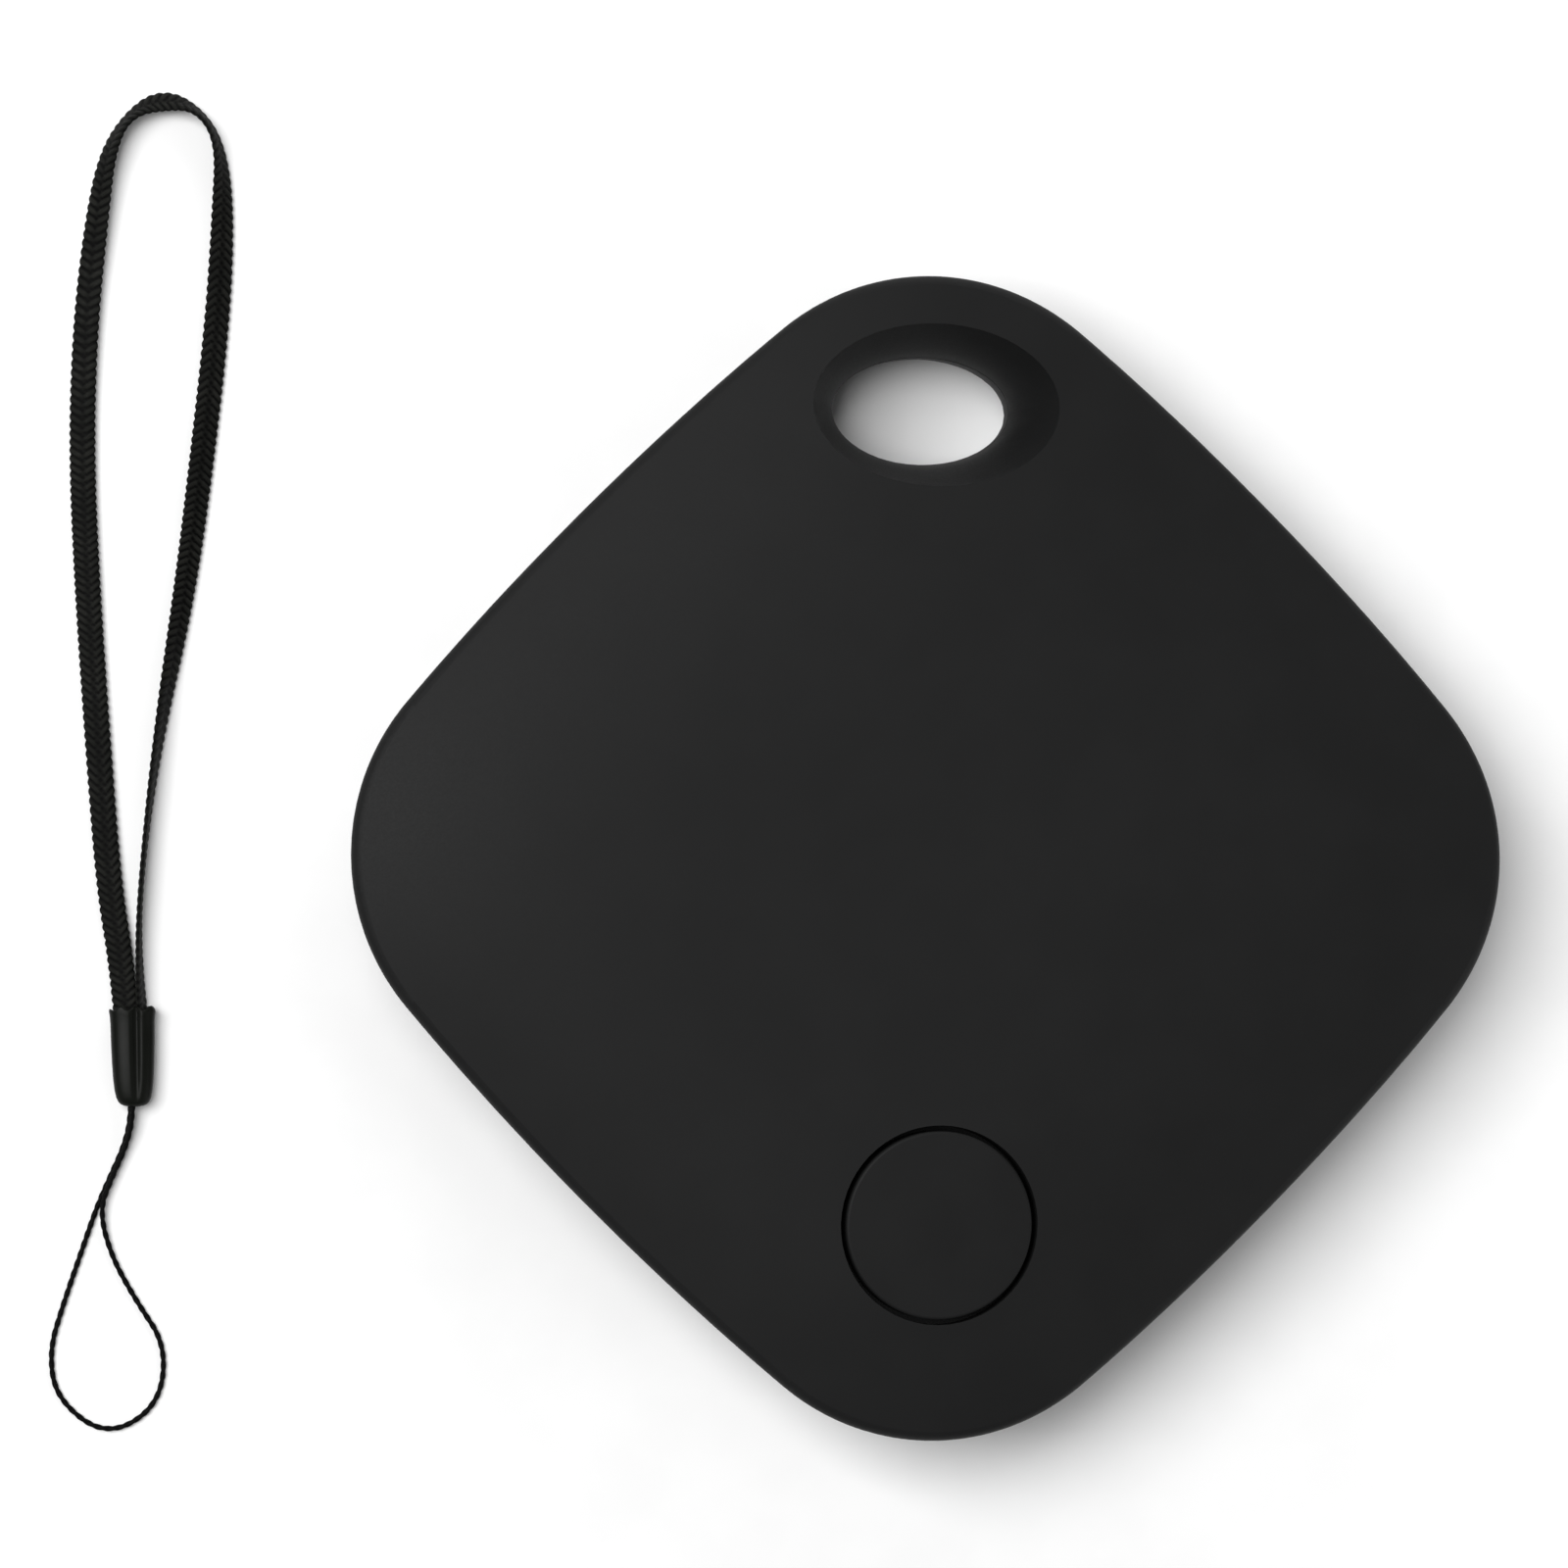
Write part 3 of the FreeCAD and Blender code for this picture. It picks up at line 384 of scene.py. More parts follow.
def string_finish():
    """Waxed thread, nearly black, with fine filaments along it and painted shade in the grooves between the
    plies.
    """
    finish = Finish("string_fibre", Specular_IOR_Level=0.05)
    ply = finish.stored_vector("stitch")
    filaments = finish.noise(0.020 * MM, 2.0, finish.scaled((1, 0.15, 0), source=ply))
    crest = finish.axis("Z", ply)
    dark, light = (0.0010, 0.0010, 0.0010), (0.0022, 0.0022, 0.0021)
    lit = finish.mixed(finish.spread(filaments, 0.3, 0.7), dark, light)
    # Painted shade: darker where the stored crest value falls into the grooves between the two plies; the crests
    # keep the lit colour.
    finish.colour(finish.mixed(finish.spread(crest, 0.0, 0.5), (0.0006, 0.0006, 0.0006), lit))
    finish.roughness(filaments, 0.45, 0.62)
    finish.bump(filaments, 0.008 * MM)
    return finish.material


# Mesh helpers

def show(name, mesh, body, slot, material, *replaced):
    """Adds a mesh as a piece that rides on a body and takes the place of CAD nodes."""
    mesh.name = name
    mesh.materials.clear()
    mesh.materials.append(material)
    item = bpy.data.objects.new(name, mesh)
    bpy.context.scene.collection.objects.link(item)
    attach(item, body)
    if replaced:
        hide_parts(*replaced)
    return item


def loft(rings, cap_start=True, cap_end=True):
    """A smooth skin over rings of equally many points."""
    count = len(rings[0])
    faces = []
    for ring in range(len(rings) - 1):
        for side in range(count):
            after = (side + 1) % count
            faces.append((ring * count + side, ring * count + after,
                          (ring + 1) * count + after, (ring + 1) * count + side))
    if cap_start:
        faces.append(tuple(reversed(range(count))))
    if cap_end:
        faces.append(tuple(range((len(rings) - 1) * count, len(rings) * count)))
    mesh = bpy.data.meshes.new("loft")
    mesh.from_pydata([point for ring in rings for point in ring], [], faces)
    mesh.shade_smooth()
    return mesh


def from_parts(build, sharp=math.radians(40)):
    """A mesh that build fills, smooth except at sharp edges."""
    shape = bmesh.new()
    build(shape)
    bmesh.ops.recalc_face_normals(shape, faces=shape.faces)
    mesh = bpy.data.meshes.new("parts")
    shape.to_mesh(mesh)
    shape.free()
    mesh.shade_smooth()
    mesh.set_sharp_from_angle(angle=sharp)
    return mesh


def add_block(shape, low, high, rounding, segments=2):
    """A box between two corners with its edges rounded."""
    low, high = Vector(low), Vector(high)
    matrix = Matrix.Translation((low + high) / 2) @ Matrix.Diagonal((*(high - low), 1))
    made = bmesh.ops.create_cube(shape, size=1, matrix=matrix)
    edges = list({edge for vertex in made["verts"] for edge in vertex.link_edges})
    bmesh.ops.bevel(shape, geom=edges, offset=rounding, segments=segments, profile=0.5, affect="EDGES")


def add_turned(shape, middle, profile, sides=24):
    """A shape turned about the vertical through middle, from radius and height pairs."""
    rings = []
    for radius, height in profile:
        rings.append([
            shape.verts.new(middle + Vector((radius * math.cos(turn), radius * math.sin(turn), height)))
            for turn in (math.tau * side / sides for side in range(sides))
        ])
    for lower, upper in zip(rings, rings[1:]):
        for side in range(sides):
            after = (side + 1) % sides
            shape.faces.new((lower[side], lower[after], upper[after], upper[side]))
    shape.faces.new(list(reversed(rings[0])))
    shape.faces.new(rings[-1])


def route_line(points):
    """The smooth line of a route, read from its NURBS spline."""
    curve = bpy.data.curves.new("route", "CURVE")
    curve.dimensions = "3D"
    spline = curve.splines.new("NURBS")
    spline.points.add(len(points) - 1)
    for control, point in zip(spline.points, points):
        control.co = (*point, 1)
    spline.order_u = 3
    spline.use_endpoint_u = True
    spline.resolution_u = ROUTE_STEPS
    carrier = bpy.data.objects.new("route", curve)
    mesh = bpy.data.meshes.new_from_object(carrier)
    line = [vertex.co.copy() for vertex in mesh.vertices]
    bpy.data.objects.remove(carrier)
    bpy.data.curves.remove(curve)
    bpy.data.meshes.remove(mesh)
    return line


def paced(line, step, *others):
    """The line walked in equal steps: distance, point, direction and the others' values at each."""
    lengths = [0.0]
    for start, end in zip(line, line[1:]):
        lengths.append(lengths[-1] + (end - start).length)
    count = round(lengths[-1] / step)
    stations = []
    span = 0
    for number in range(count + 1):
        distance = lengths[-1] * number / count
        while span < len(line) - 2 and lengths[span + 1] < distance:
            span += 1
        share = (distance - lengths[span]) / max(lengths[span + 1] - lengths[span], 1e-12)
        values = [other[span].lerp(other[span + 1], share) for other in (line, *others)]
        stations.append((distance, *values))
    directions = []
    for number in range(len(stations)):
        before = stations[max(number - 1, 0)][1]
        after = stations[min(number + 1, len(stations) - 1)][1]
        directions.append((after - before).normalized())
    return [(station[0], station[1], way, *station[2:]) for station, way in zip(stations, directions)]


def store_vectors(mesh, name, vectors):
    """Stores a vector on each point of the mesh, for its material to read."""
    layer = mesh.attributes.new(name, "FLOAT_VECTOR", "POINT")
    layer.data.foreach_set("vector", [number for vector in vectors for number in vector])


# Lanyard

def rounded_power(value, power):
    """A power that keeps the sign, which squares up an oval when it is under 1."""
    return math.copysign(abs(value) ** power, value)


def make_strap():
    """A flat braid of two columns of slanting stitches, lying on its face or standing on its edge."""
    up = Vector((0, 0, 1))
    half_width, half_thickness = STRAP_WIDTH / 2, STRAP_THICKNESS / 2
    line = route_line([(x * MM, y * MM, 0) for x, y, turn in STRAP_ROUTE])
    turns = route_line([(turn, 0, 0) for x, y, turn in STRAP_ROUTE])
    rings, stitches, centres = [], [], []
    for distance, point, way, turn in paced(line, STITCH_PITCH / RINGS_PER_STITCH, turns):
        angle = math.radians(turn.x)
        lift = half_width * math.sin(angle) + half_thickness * math.cos(angle)
        side = way.cross(up).normalized()
        across = side * math.cos(angle) + up * math.sin(angle)
        out = across.cross(way)
        centre = point + up * (lift + STRAP_CLEARANCE)
        count = distance / STITCH_PITCH + STITCH_DRIFT * math.sin(distance / DRIFT_LENGTH)
        slant = STITCH_SLANT * (1 + SLANT_DRIFT * math.sin(distance / (2 * DRIFT_LENGTH)))
        ring = []
        for number in range(STRAP_SIDES):
            around = math.tau * number / STRAP_SIDES
            place = rounded_power(math.cos(around), 0.6)
            height = rounded_power(math.sin(around), 0.7)
            row = count - slant * abs(place)
            yarn = abs(math.sin(math.pi * row))
            column = 1 - COLUMN_RELIEF * (1 - math.sin(math.pi * abs(place)) ** 0.6)
            crest = yarn * column
            ring.append(centre
                        + across * place * half_width * (1 - EDGE_RELIEF * (1 - yarn))
                        + out * height * half_thickness * (1 - FACE_RELIEF * (1 - crest)))
            # The third value, the crest, also sets where the braid's material paints shade into the gaps.
            stitches.append((row * STITCH_PITCH, place * half_width, crest))
        rings.append(ring)
        centres.append(centre)
    mesh = loft(rings)
    store_vectors(mesh, "stitch", stitches)
    strap = show("strap_braid", mesh, "lanyard", "braid", braid_finish(), "lanyard_strap")
    return strap, centres


def make_string():
    """Two plies of waxed thread twisted together."""
    rings, stitches, centres = [], [], []
    line = route_line([Vector(point) * MM for point in STRING_ROUTE])
    for distance, point, way in paced(line, PLY_PITCH / RINGS_PER_PLY):
        side = way.cross(Vector((0, 0, 1))).normalized()
        up = side.cross(way)
        twist = math.pi * distance / PLY_PITCH
        for number in range(STRING_SIDES):
            around = math.tau * number / STRING_SIDES
            crest = abs(math.cos(around - twist))
            radius = STRING_WIDTH / 2 * (1 - PLY_RELIEF * (1 - crest))
            rings.append(point + (side * math.cos(around) + up * math.sin(around)) * radius)
            # The third value, the crest, also sets where the thread's material paints shade into the grooves.
            stitches.append(((around / math.pi * PLY_PITCH - distance) * 0.4, distance, crest))
        centres.append(point)
    mesh = loft([rings[start:start + STRING_SIDES] for start in range(0, len(rings), STRING_SIDES)])
    store_vectors(mesh, "stitch", stitches)
    string = show("string_twist", mesh, "lanyard", "string_fibre", string_finish(), "lanyard_string")
    return string, centres


def cord_end_ring(distance, half_width, half_height, mouth=False):
    """One section of the two-lobed tube, with its wavy lip."""
    ring = []
    lip = max(0.0, 1 - distance / LIP_LENGTH)
    depth = MOUTH_GROOVE_DEPTH
    if not mouth:
        depth = GROOVE_DEPTH * min(1.0, (CORD_END_LENGTH - distance) / GROOVE_FADE)
    for number in range(CORD_END_SIDES):
        around = math.tau * number / CORD_END_SIDES
        across = rounded_power(math.cos(around), 0.85)
        height = rounded_power(math.sin(around), 0.80)
        groove = math.exp(-((across - GROOVE_PLACE) / GROOVE_WIDTH) ** 2)
        wave = LIP_WAVE * lip * math.cos(3 * math.pi * (across + 0.2))
        ring.append(CORD_END_MIDDLE + Vector((
            across * half_width + CORD_END_SHIFT * distance / CORD_END_LENGTH,
            -distance - wave,
            height * half_height * (1 - depth * groove),
        )) * MM)
    return ring


def make_cord_end():
    """A soft plastic sleeve pressed over both ends of the strap, with the string coming out of its tip."""
    rings = [cord_end_ring(*station, mouth=True) for station in reversed(CORD_END_MOUTH)]
    rings += [cord_end_ring(*station) for station in CORD_END_STATIONS]
    dark, light = (0.0022, 0.0027, 0.0019), (0.0036, 0.0042, 0.0031)
    material = moulded("cord_end_plastic", dark, light, 0.05 * MM, 0.002 * MM, (0.36, 0.46),
                       Specular_IOR_Level=0.10)
    return show("cord_end", loft(rings), "lanyard", "cord_end_plastic", material, "lanyard_crimp")


def make_lanyard():
    """The wrist loop."""
    cord_end = make_cord_end()
    strap, strap_line = make_strap()
    string, string_line = make_string()


# Circuit board

FILLET_STEPS = 5
FILLET_REACH = 0.8
FILLET_TOE = 0.01 * MM
FILLET_INSET = 0.02 * MM


def long_axis(low, high):
    """0 or 1: the axis along a block's longer side."""
    return 0 if high.x - low.x > high.y - low.y else 1


def box_of(node):
    """The lowest and highest corner of a CAD node."""
    return [Vector(corner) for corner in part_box(node)]


def islands(node):
    """The lowest and highest corner of each separate solid in a CAD node."""
    shape = bmesh.new()
    shape.from_mesh(nodes[node].data)
    bmesh.ops.remove_doubles(shape, verts=shape.verts, dist=0.001 * MM)
    shape.verts.ensure_lookup_table()
    waiting = set(shape.verts)
    boxes = []
    while waiting:
        front = [waiting.pop()]
        found = list(front)
        while front:
            for edge in front.pop().link_edges:
                for vertex in edge.verts:
                    if vertex in waiting:
                        waiting.discard(vertex)
                        front.append(vertex)
                        found.append(vertex)
        boxes.append((Vector([min(v.co[axis] for v in found) for axis in range(3)]),
                      Vector([max(v.co[axis] for v in found) for axis in range(3)])))
    shape.free()
    return sorted(boxes, key=lambda corners: tuple(corners[0]))


def end_caps(low, high, share):
    """The two end boxes of a block, along its longer side."""
    axis = long_axis(low, high)
    length = (high[axis] - low[axis]) * share
    first_high, second_low = high.copy(), low.copy()
    first_high[axis] = low[axis] + length
    second_low[axis] = high[axis] - length
    return (low, first_high), (second_low, high)


def add_fillet(shape, low, high, outward, height):
    """Solder that climbs a block's end: a wedge with a hollow slope."""
    axis = 0 if abs(outward.x) > 0.5 else 1
    other = 1 - axis
    edge = high[axis] if outward[axis] > 0 else low[axis]
    near, far = low[other] + FILLET_INSET, high[other] - FILLET_INSET
    rows = []
    for step in range(FILLET_STEPS + 1):
        share = step / FILLET_STEPS
        reach = height * FILLET_REACH * share
        rise = height * (1 - share) ** 2 + FILLET_TOE
        row = []
        for side, level in ((near, low.z + rise), (far, low.z + rise), (far, low.z), (near, low.z)):
            point = Vector((0, 0, level))
            point[axis] = edge + outward[axis] * reach
            point[other] = side
            row.append(shape.verts.new(point))
        rows.append(row)
    for before, after in zip(rows, rows[1:]):
        for corner in range(4):
            following = (corner + 1) % 4
            shape.faces.new((before[corner], before[following], after[following], after[corner]))
    shape.faces.new(rows[0])
    shape.faces.new(list(reversed(rows[-1])))


def make_chip_parts(solder):
    """Capacitors and resistors with metal ends, and the solder that holds them."""
    inset = Vector((1, 1, 0)) * 0.015 * MM
    capacitors, resistors = islands("capacitors"), islands("resistors")

    def bodies(boxes):
        def build(shape):
            for low, high in boxes:
                add_block(shape, low + inset, high - inset, 0.04 * MM)
        return from_parts(build)

    def ends(shape):
        for low, high in capacitors + resistors:
            for start, end in end_caps(low, high, 0.24):
                add_block(shape, start, end, 0.05 * MM)

    def fillets(shape):
        for low, high in capacitors + resistors:
            for sign in (-1, 1):
                outward = Vector((0, 0, 0))
                outward[long_axis(low, high)] = sign
                add_fillet(shape, low, high, outward, 0.26 * MM)

    show("capacitor_bodies", bodies(capacitors), "case", "capacitor_ceramic",
         ceramic("capacitor_ceramic", (0.30, 0.18, 0.095), (0.44, 0.29, 0.165), (0.38, 0.52)), "capacitors")
    show("resistor_bodies", bodies(resistors), "case", "resistor_body",
         ceramic("resistor_body", (0.018, 0.018, 0.022), (0.036, 0.036, 0.042), (0.25, 0.40)), "resistors")
    show("chip_ends", from_parts(ends), "case", "crystal_metal", solder)
    show("chip_solder", from_parts(fillets), "case", "crystal_metal", solder)


def perimeter(low, high, count, inset):
    """Evenly spaced places along a box's four sides, with the way out of each."""
    found = []
    for number in range(count):
        share = inset + (1 - 2 * inset) * number / (count - 1)
        across = low.x + (high.x - low.x) * share
        along = low.y + (high.y - low.y) * share
        found += [(Vector((across, low.y, low.z)), Vector((0, -1, 0))),
                  (Vector((across, high.y, low.z)), Vector((0, 1, 0))),
                  (Vector((low.x, along, low.z)), Vector((-1, 0, 0))),
                  (Vector((high.x, along, low.z)), Vector((1, 0, 0)))]
    return found


def make_radio_chip(resin, solder):
    """A moulded body standing on a row of flat leads along each side."""
    low, high = box_of("radio_chip")
    under, lead_high = 0.12 * MM, 0.14 * MM

    def body(shape):
        add_block(shape, low + Vector((0, 0, under)), high, 0.06 * MM, 3)
        add_block(shape, low + Vector((0.08, 0.08, 0)) * MM, high - Vector((0.08, 0.08, 0.6)) * MM, 0.03 * MM)

    def leads(shape):
        for place, outward in perimeter(low, high, 8, 0.12):
            side = Vector((abs(outward.y), abs(outward.x), 0)) * 0.11 * MM
            inner = place - outward * 0.25 * MM - side
            outer = place + outward * 0.16 * MM + side + Vector((0, 0, lead_high))
            corners = [Vector(map(min, inner, outer)), Vector(map(max, inner, outer))]
            add_block(shape, *corners, 0.03 * MM)

    show("radio_chip_body", from_parts(body), "case", "chip_resin", resin, "radio_chip")
    show("radio_chip_leads", from_parts(leads), "case", "crystal_metal", solder)


def make_crystals(lid, white, solder):
    """Ceramic trays with welded metal lids."""
    boxes = [box_of(node) for node in ("main_crystal", "sleep_crystal")]
    margin = Vector((0.06, 0.06, 0)) * MM

    def trays(shape):
        for low, high in boxes:
            add_block(shape, low, Vector((high.x, high.y, high.z - 0.14 * MM)), 0.05 * MM)

    def lids(shape):
        for low, high in boxes:
            edge = Vector((0.10, 0.10, 0)) * MM
            rim_low = Vector((low.x, low.y, high.z - 0.18 * MM)) + edge
            add_block(shape, rim_low, Vector((high.x, high.y, high.z - 0.06 * MM)) - edge, 0.03 * MM)
            add_block(shape, rim_low + edge * 1.2, high - edge * 2.2, 0.05 * MM, 3)

    def pads(shape):
        for low, high in boxes:
            for start, end in end_caps(low, high, 0.22):
                top = Vector((end.x, end.y, low.z + 0.10 * MM))
                add_block(shape, start - margin, top + margin, 0.03 * MM)

    show("crystal_trays", from_parts(trays), "case", "ceramic_white", white, "main_crystal")
    show("crystal_lids", from_parts(lids), "case", "crystal_metal", lid, "sleep_crystal")
    show("crystal_pads", from_parts(pads), "case", "crystal_metal", solder)


def make_antenna(white, solder):
    """A ceramic bar with a printed zigzag between two metal ends."""
    low, high = box_of("chip_antenna")
    axis = long_axis(low, high)
    length = high[axis] - low[axis]
    turns = 9
    first, spread = 0.18, 0.64
    proud = 0.012 * MM
    half_line, line = 0.05 * MM, 0.10 * MM
    margin = 0.25 * MM

    def bar(shape):
        add_block(shape, low, high, 0.07 * MM)

    def metal(shape):
        for start, end in end_caps(low, high, 0.12):
            add_block(shape, start - Vector((1, 1, 0)) * proud, end + Vector((1, 1, 1)) * proud, 0.06 * MM)
        for number in range(turns):
            place = low[axis] + length * (first + spread * number / (turns - 1))
            start, end = low.copy(), high.copy()
            start[axis], end[axis] = place - half_line, place + half_line
            start[1 - axis] += margin
            end[1 - axis] -= margin
            start.z, end.z = high.z - 0.02 * MM, high.z + proud
            add_block(shape, start, end, 0.005 * MM, 1)
            if number:
                link_start, link_end = start.copy(), end.copy()
                link_start[axis] -= length * spread / (turns - 1)
                if number % 2:
                    link_start[1 - axis] = end[1 - axis] - line
                else:
                    link_end[1 - axis] = start[1 - axis] + line
                add_block(shape, link_start, link_end, 0.005 * MM, 1)

    show("antenna_bar", from_parts(bar), "case", "ceramic_white", white, "chip_antenna")
    show("antenna_metal", from_parts(metal), "case", "crystal_metal", solder)


def make_inductor(ferrite, copper, solder):
    """A drum core: two flanges with copper wire wound between them."""
    low, high = box_of("boost_inductor")
    middle = (low + high) / 2
    foot = Vector((middle.x, middle.y, low.z))
    waist = (high.x - low.x) / 2 - 0.34 * MM
    height = high.z - low.z
    rows, steps = 7, 4
    wire_low = 0.32 * MM

    def core(shape):
        for bottom, top in ((0.06 * MM, 0.32 * MM), (height - 0.28 * MM, height)):
            add_block(shape, (low.x, low.y, low.z + bottom), (high.x, high.y, low.z + top), 0.09 * MM, 3)
        add_turned(shape, foot, [(waist - 0.3 * MM, 0.2 * MM), (waist - 0.3 * MM, height - 0.2 * MM)])

    def wire(shape):
        pitch = (height - 0.6 * MM) / rows
        profile = [(waist - 0.2 * MM, wire_low)]
        for step in range(rows * steps + 1):
            bulge = abs(math.sin(math.pi * step / steps))
            profile.append((waist + 0.05 * MM * bulge, wire_low + pitch * step / steps))
        profile.append((waist - 0.2 * MM, wire_low + pitch * rows))
        add_turned(shape, foot, profile, 48)

    def feet(shape):
        for sign in (-1, 1):
            edge = low.x if sign < 0 else high.x
            inner = edge - sign * 0.7 * MM
            start = Vector((min(edge, inner), low.y + 0.5 * MM, low.z))
            end = Vector((max(edge, inner), high.y - 0.5 * MM, low.z + 0.08 * MM))
            add_block(shape, start, end, 0.02 * MM)
            add_fillet(shape, start, Vector((end.x, end.y, high.z)), Vector((sign, 0, 0)), 0.22 * MM)

    show("inductor_core", from_parts(core), "case", "ferrite", ferrite, "boost_inductor")
    show("inductor_wire", from_parts(wire, math.radians(80)), "case", "contact_metal", copper)
    show("inductor_feet", from_parts(feet), "case", "crystal_metal", solder)


def make_transistor(resin, solder):
    """A moulded body with three bent leads."""
    low, high = box_of("driver_transistor")

    def body(shape):
        add_block(shape, low + Vector((0, 0, 0.08 * MM)), high, 0.10 * MM, 2)

    def lead(shape, along, sign):
        edge = low.x if sign < 0 else high.x
        half = 0.2 * MM
        path = ((-0.15, 0.55), (0.14, 0.52), (0.24, 0.40), (0.30, 0.14), (0.40, 0.06), (0.62, 0.05))
        rings = []
        for out, up in path:
            for thick in (0.04, -0.04):
                rings.append([shape.verts.new((edge + sign * out * MM, along + half * way,
                                               low.z + (up + thick) * MM)) for way in (-1, 1)])
        for number in range(len(path) - 1):
            top, under, next_top, next_under = rings[2 * number:2 * number + 4]
            shape.faces.new((top[0], top[1], next_top[1], next_top[0]))
            shape.faces.new((under[1], under[0], next_under[0], next_under[1]))
            shape.faces.new((top[0], next_top[0], next_under[0], under[0]))
            shape.faces.new((top[1], under[1], next_under[1], next_top[1]))
        shape.faces.new((rings[0][1], rings[0][0], rings[1][0], rings[1][1]))
        shape.faces.new((rings[-2][0], rings[-2][1], rings[-1][1], rings[-1][0]))

    def leads(shape):
        middle = (low.y + high.y) / 2
        lead(shape, middle - 0.95 * MM, 1)
        lead(shape, middle + 0.95 * MM, 1)
        lead(shape, middle, -1)

    show("transistor_body", from_parts(body), "case", "chip_resin", resin, "driver_transistor")
    show("transistor_leads", from_parts(leads), "case", "crystal_metal", solder)


VIAS = (
    (-17.0, 4.6), (-12.8, 4.9), (-12.4, 2.0), (-16.9, -2.6), (-13.0, -3.6), (-16.4, -5.6), (-11.9, -8.2),
    (13.0, -1.2), (13.2, 1.6), (15.6, 3.4), (16.4, -2.2), (11.9, 9.0), (9.4, -12.9), (-9.6, -13.0),
    (4.9, -15.6), (-5.0, -15.8), (2.9, -17.6), (-3.0, -17.7), (12.6, -8.8), (-14.3, 7.4),
)
TEST_PADS = ((-5.9, -14.4), (-7.6, -13.6), (6.0, -14.6), (7.6, -13.6), (-12.4, 7.4), (13.4, 7.6))


def make_board_details(gold, ink, solder):
    """Plated holes, test pads and the printed outlines round the parts."""
    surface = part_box("circuit_board")[1][2]
    printed = ("radio_chip", "chip_antenna", "boost_inductor", "sleep_crystal")

    def turned_pad(shape, across, along, profile, sides):
        middle = Vector((across * MM, along * MM, surface))
        add_turned(shape, middle, [(radius * MM, height * MM) for radius, height in profile], sides)

    def pads(shape):
        for across, along in VIAS:
            ring = [(0.12, 0.004), (0.26, 0.006), (0.27, 0.016), (0.14, 0.018), (0.12, 0.006)]
            turned_pad(shape, across, along, ring, 20)
        for across, along in TEST_PADS:
            disc = [(0.46, -0.002), (0.50, 0.010), (0.47, 0.022), (0.2, 0.024)]
            turned_pad(shape, across, along, disc, 28)

    def outlines(shape):
        line, gap, proud = 0.10 * MM, 0.32 * MM, 0.012 * MM
        floor, top_of_line = surface - proud, surface + proud
        for node in printed:
            low, high = box_of(node)
            left, right = low.x - gap, high.x + gap
            bottom, top = low.y - gap, high.y + gap
            strips = [((left, along), (right, along + line)) for along in (bottom, top - line)]
            strips += [((across, bottom), (across + line, top)) for across in (left, right - line)]
            for start, end in strips:
                add_block(shape, (*start, floor), (*end, top_of_line), 0.004 * MM, 1)

    def joints(shape):
        low, high = box_of("switch_base")
        half_pad, pad_high = 0.36 * MM, 0.17 * MM
        for along in (-1.2 * MM, 1.2 * MM):
            middle = (low.y + high.y) / 2 + along
            for sign, edge in ((-1, low.x), (1, high.x)):
                inner = edge - sign * 0.3 * MM
                start = Vector((min(edge, inner), middle - half_pad, surface))
                end = Vector((max(edge, inner), middle + half_pad, surface + pad_high))
                add_block(shape, start, end, 0.03 * MM)
                add_fillet(shape, start, end, Vector((sign, 0, 0)), pad_high)

    show("board_pads", from_parts(pads), "case", "contact_metal", gold)
    show("board_print", from_parts(outlines), "case", "ceramic_white", ink)
    show("switch_solder", from_parts(joints), "case", "crystal_metal", solder)


# CAD nodes that keep their shape

def paint(material, *names):
    """Gives CAD nodes a material and leaves their mesh as it is."""
    for name in names:
        slots = nodes[name].data.materials
        slots.clear()
        slots.append(material)


def paint_nodes():
    """Paints the nodes that keep their shape, and returns the contacts' metal for the board's pads."""
    paint(case_finish(), "front_cover", "rear_cover")
    dark, light = (0.0083, 0.0084, 0.0085), (0.0092, 0.0093, 0.0094)
    paint(moulded("button_plastic", dark, light, 0.07 * MM, 0.0018 * MM, (0.52, 0.58),
                  Specular_IOR_Level=0.10), "button_cap")
    paint(silicone_finish(), "case_seal", "button_pad")
    paint(foam_finish(), "battery_pad")
    paint(board_finish(), "circuit_board")
    paint(brushed("screw_steel", (0.36, 0.36, 0.37), (0.60, 0.60, 0.60), (0.28, 0.42)), "board_screws")
    paint(moulded("switch_plastic", (0.018, 0.018, 0.019), (0.030, 0.030, 0.031), 0.08 * MM, 0.003 * MM,
                  (0.40, 0.55)), "switch_base", "switch_plunger")
    paint(brushed("switch_steel", (0.42, 0.42, 0.42), (0.66, 0.66, 0.66), (0.24, 0.38)), "switch_frame")
    paint(moulded("cradle_plastic", (0.44, 0.42, 0.37), (0.60, 0.58, 0.52), 0.09 * MM, 0.003 * MM,
                  (0.42, 0.56)), "battery_cradle")
    spring = brushed("contact_metal", (0.60, 0.42, 0.16), (0.80, 0.62, 0.30), (0.20, 0.34))
    paint(spring, "battery_contact_positive", "battery_contact_negative", "buzzer_contacts")
    middle = sum(box_of("battery_can"), Vector()) / 2
    paint(turned_metal("cell_steel", middle, (0.44, 0.44, 0.43), (0.70, 0.70, 0.68), (0.22, 0.36)),
          "battery_can", "battery_cap")
    paint(moulded("cell_gasket", (0.20, 0.20, 0.20), (0.34, 0.34, 0.34), 0.1 * MM, 0.002 * MM, (0.4, 0.55)),
          "battery_gasket")
    paint(turned_metal("sounder_brass", middle, (0.46, 0.30, 0.10), (0.70, 0.50, 0.21), (0.25, 0.42)),
          "buzzer_plate")
    return spring


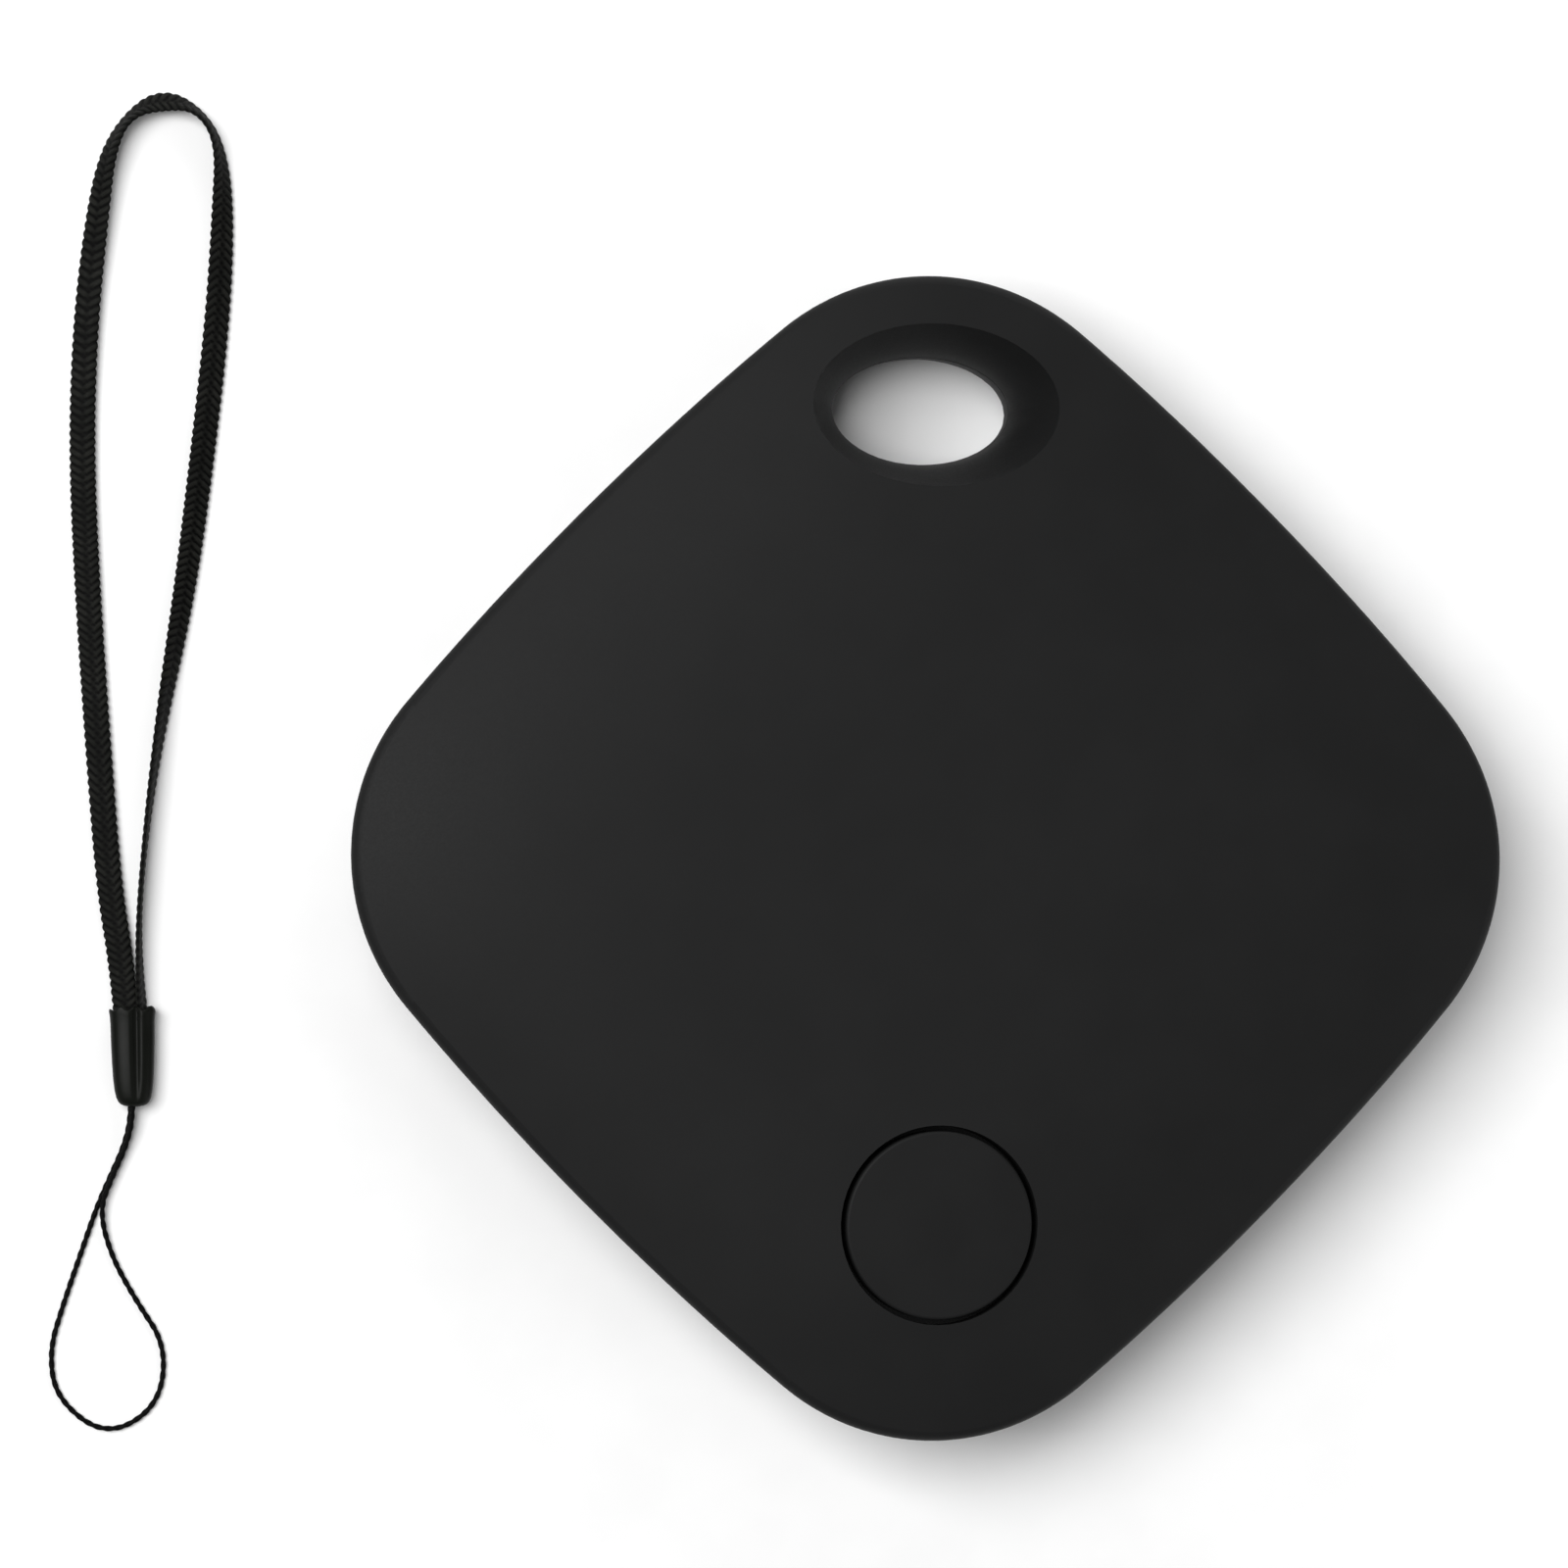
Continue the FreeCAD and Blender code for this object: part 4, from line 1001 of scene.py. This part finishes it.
def make_board_parts(spring):
    """Everything that is soldered to the circuit board, and what is printed on it."""
    solder = solder_finish()
    white = ceramic("ceramic_white", (0.62, 0.61, 0.57), (0.76, 0.75, 0.71), (0.40, 0.55))
    paint(white, "buzzer_ceramic")
    resin = moulded("chip_resin", (0.012, 0.012, 0.013), (0.022, 0.022, 0.024), 0.06 * MM, 0.006 * MM,
                    (0.45, 0.62))
    lid = brushed("crystal_metal", (0.48, 0.46, 0.42), (0.72, 0.70, 0.65), (0.20, 0.34))
    ferrite = ceramic("ferrite", (0.035, 0.035, 0.038), (0.075, 0.075, 0.080), (0.50, 0.70))
    copper = brushed("wire_enamel", (0.38, 0.14, 0.05), (0.62, 0.27, 0.10), (0.22, 0.36))
    make_chip_parts(solder)
    make_radio_chip(resin, solder)
    make_crystals(lid, white, solder)
    make_antenna(white, solder)
    make_inductor(ferrite, copper, solder)
    make_transistor(resin, solder)
    make_board_details(spring, white, solder)


# Floor and light

def make_floor():
    """A sheet of white paper a hair below the tag."""
    half, depth = 1500 * MM, -0.01 * MM
    corners = [(-half, -half, depth), (half, -half, depth), (half, half, depth), (-half, half, depth)]
    mesh = bpy.data.meshes.new("floor")
    mesh.from_pydata(corners, [], [(0, 1, 2, 3)])
    finish = Finish("floor_paper", Specular_IOR_Level=0.1)
    fibre = finish.noise(4 * MM, 3.0)
    finish.colour(finish.mixed(finish.spread(fibre, 0.3, 0.7), (0.86, 0.86, 0.86), (0.88, 0.88, 0.88)))
    finish.roughness(fibre, 0.85, 0.95)
    mesh.materials.append(finish.material)
    floor = bpy.data.objects.new("floor", mesh)
    bpy.context.scene.collection.objects.link(floor)


def light(name, place, width, height, power):
    """A soft box aimed at the tag's middle."""
    data = bpy.data.lights.new(name, "AREA")
    data.shape = "RECTANGLE"
    data.size, data.size_y = width, height
    data.energy = power
    lamp = bpy.data.objects.new(name, data)
    lamp.location = place
    lamp.rotation_mode = "QUATERNION"
    lamp.rotation_quaternion = Vector(place).to_track_quat("Z", "Y")
    bpy.context.scene.collection.objects.link(lamp)


def make_light():
    """A key light from the left, two weaker ones that even out the floor, and a pale room."""
    light("soft_box_left", (-0.24, 0.08, 0.46), 0.30, 0.36, 3.05)
    light("soft_box_right", (0.50, -0.22, 0.16), 0.30, 0.50, 0.95)
    light("soft_box_top", (0.10, 0.50, 0.16), 0.60, 0.25, 1.1)
    world = bpy.data.worlds.new("studio")
    world.use_nodes = True
    backdrop = world.node_tree.nodes["Background"]
    backdrop.inputs["Color"].default_value = (1, 1, 1, 1)
    backdrop.inputs["Strength"].default_value = 0.22
    bpy.context.scene.world = world
    bpy.context.scene.view_settings.view_transform = "Standard"


make_camera()
make_lanyard()
make_board_parts(paint_nodes())
make_floor()
make_light()
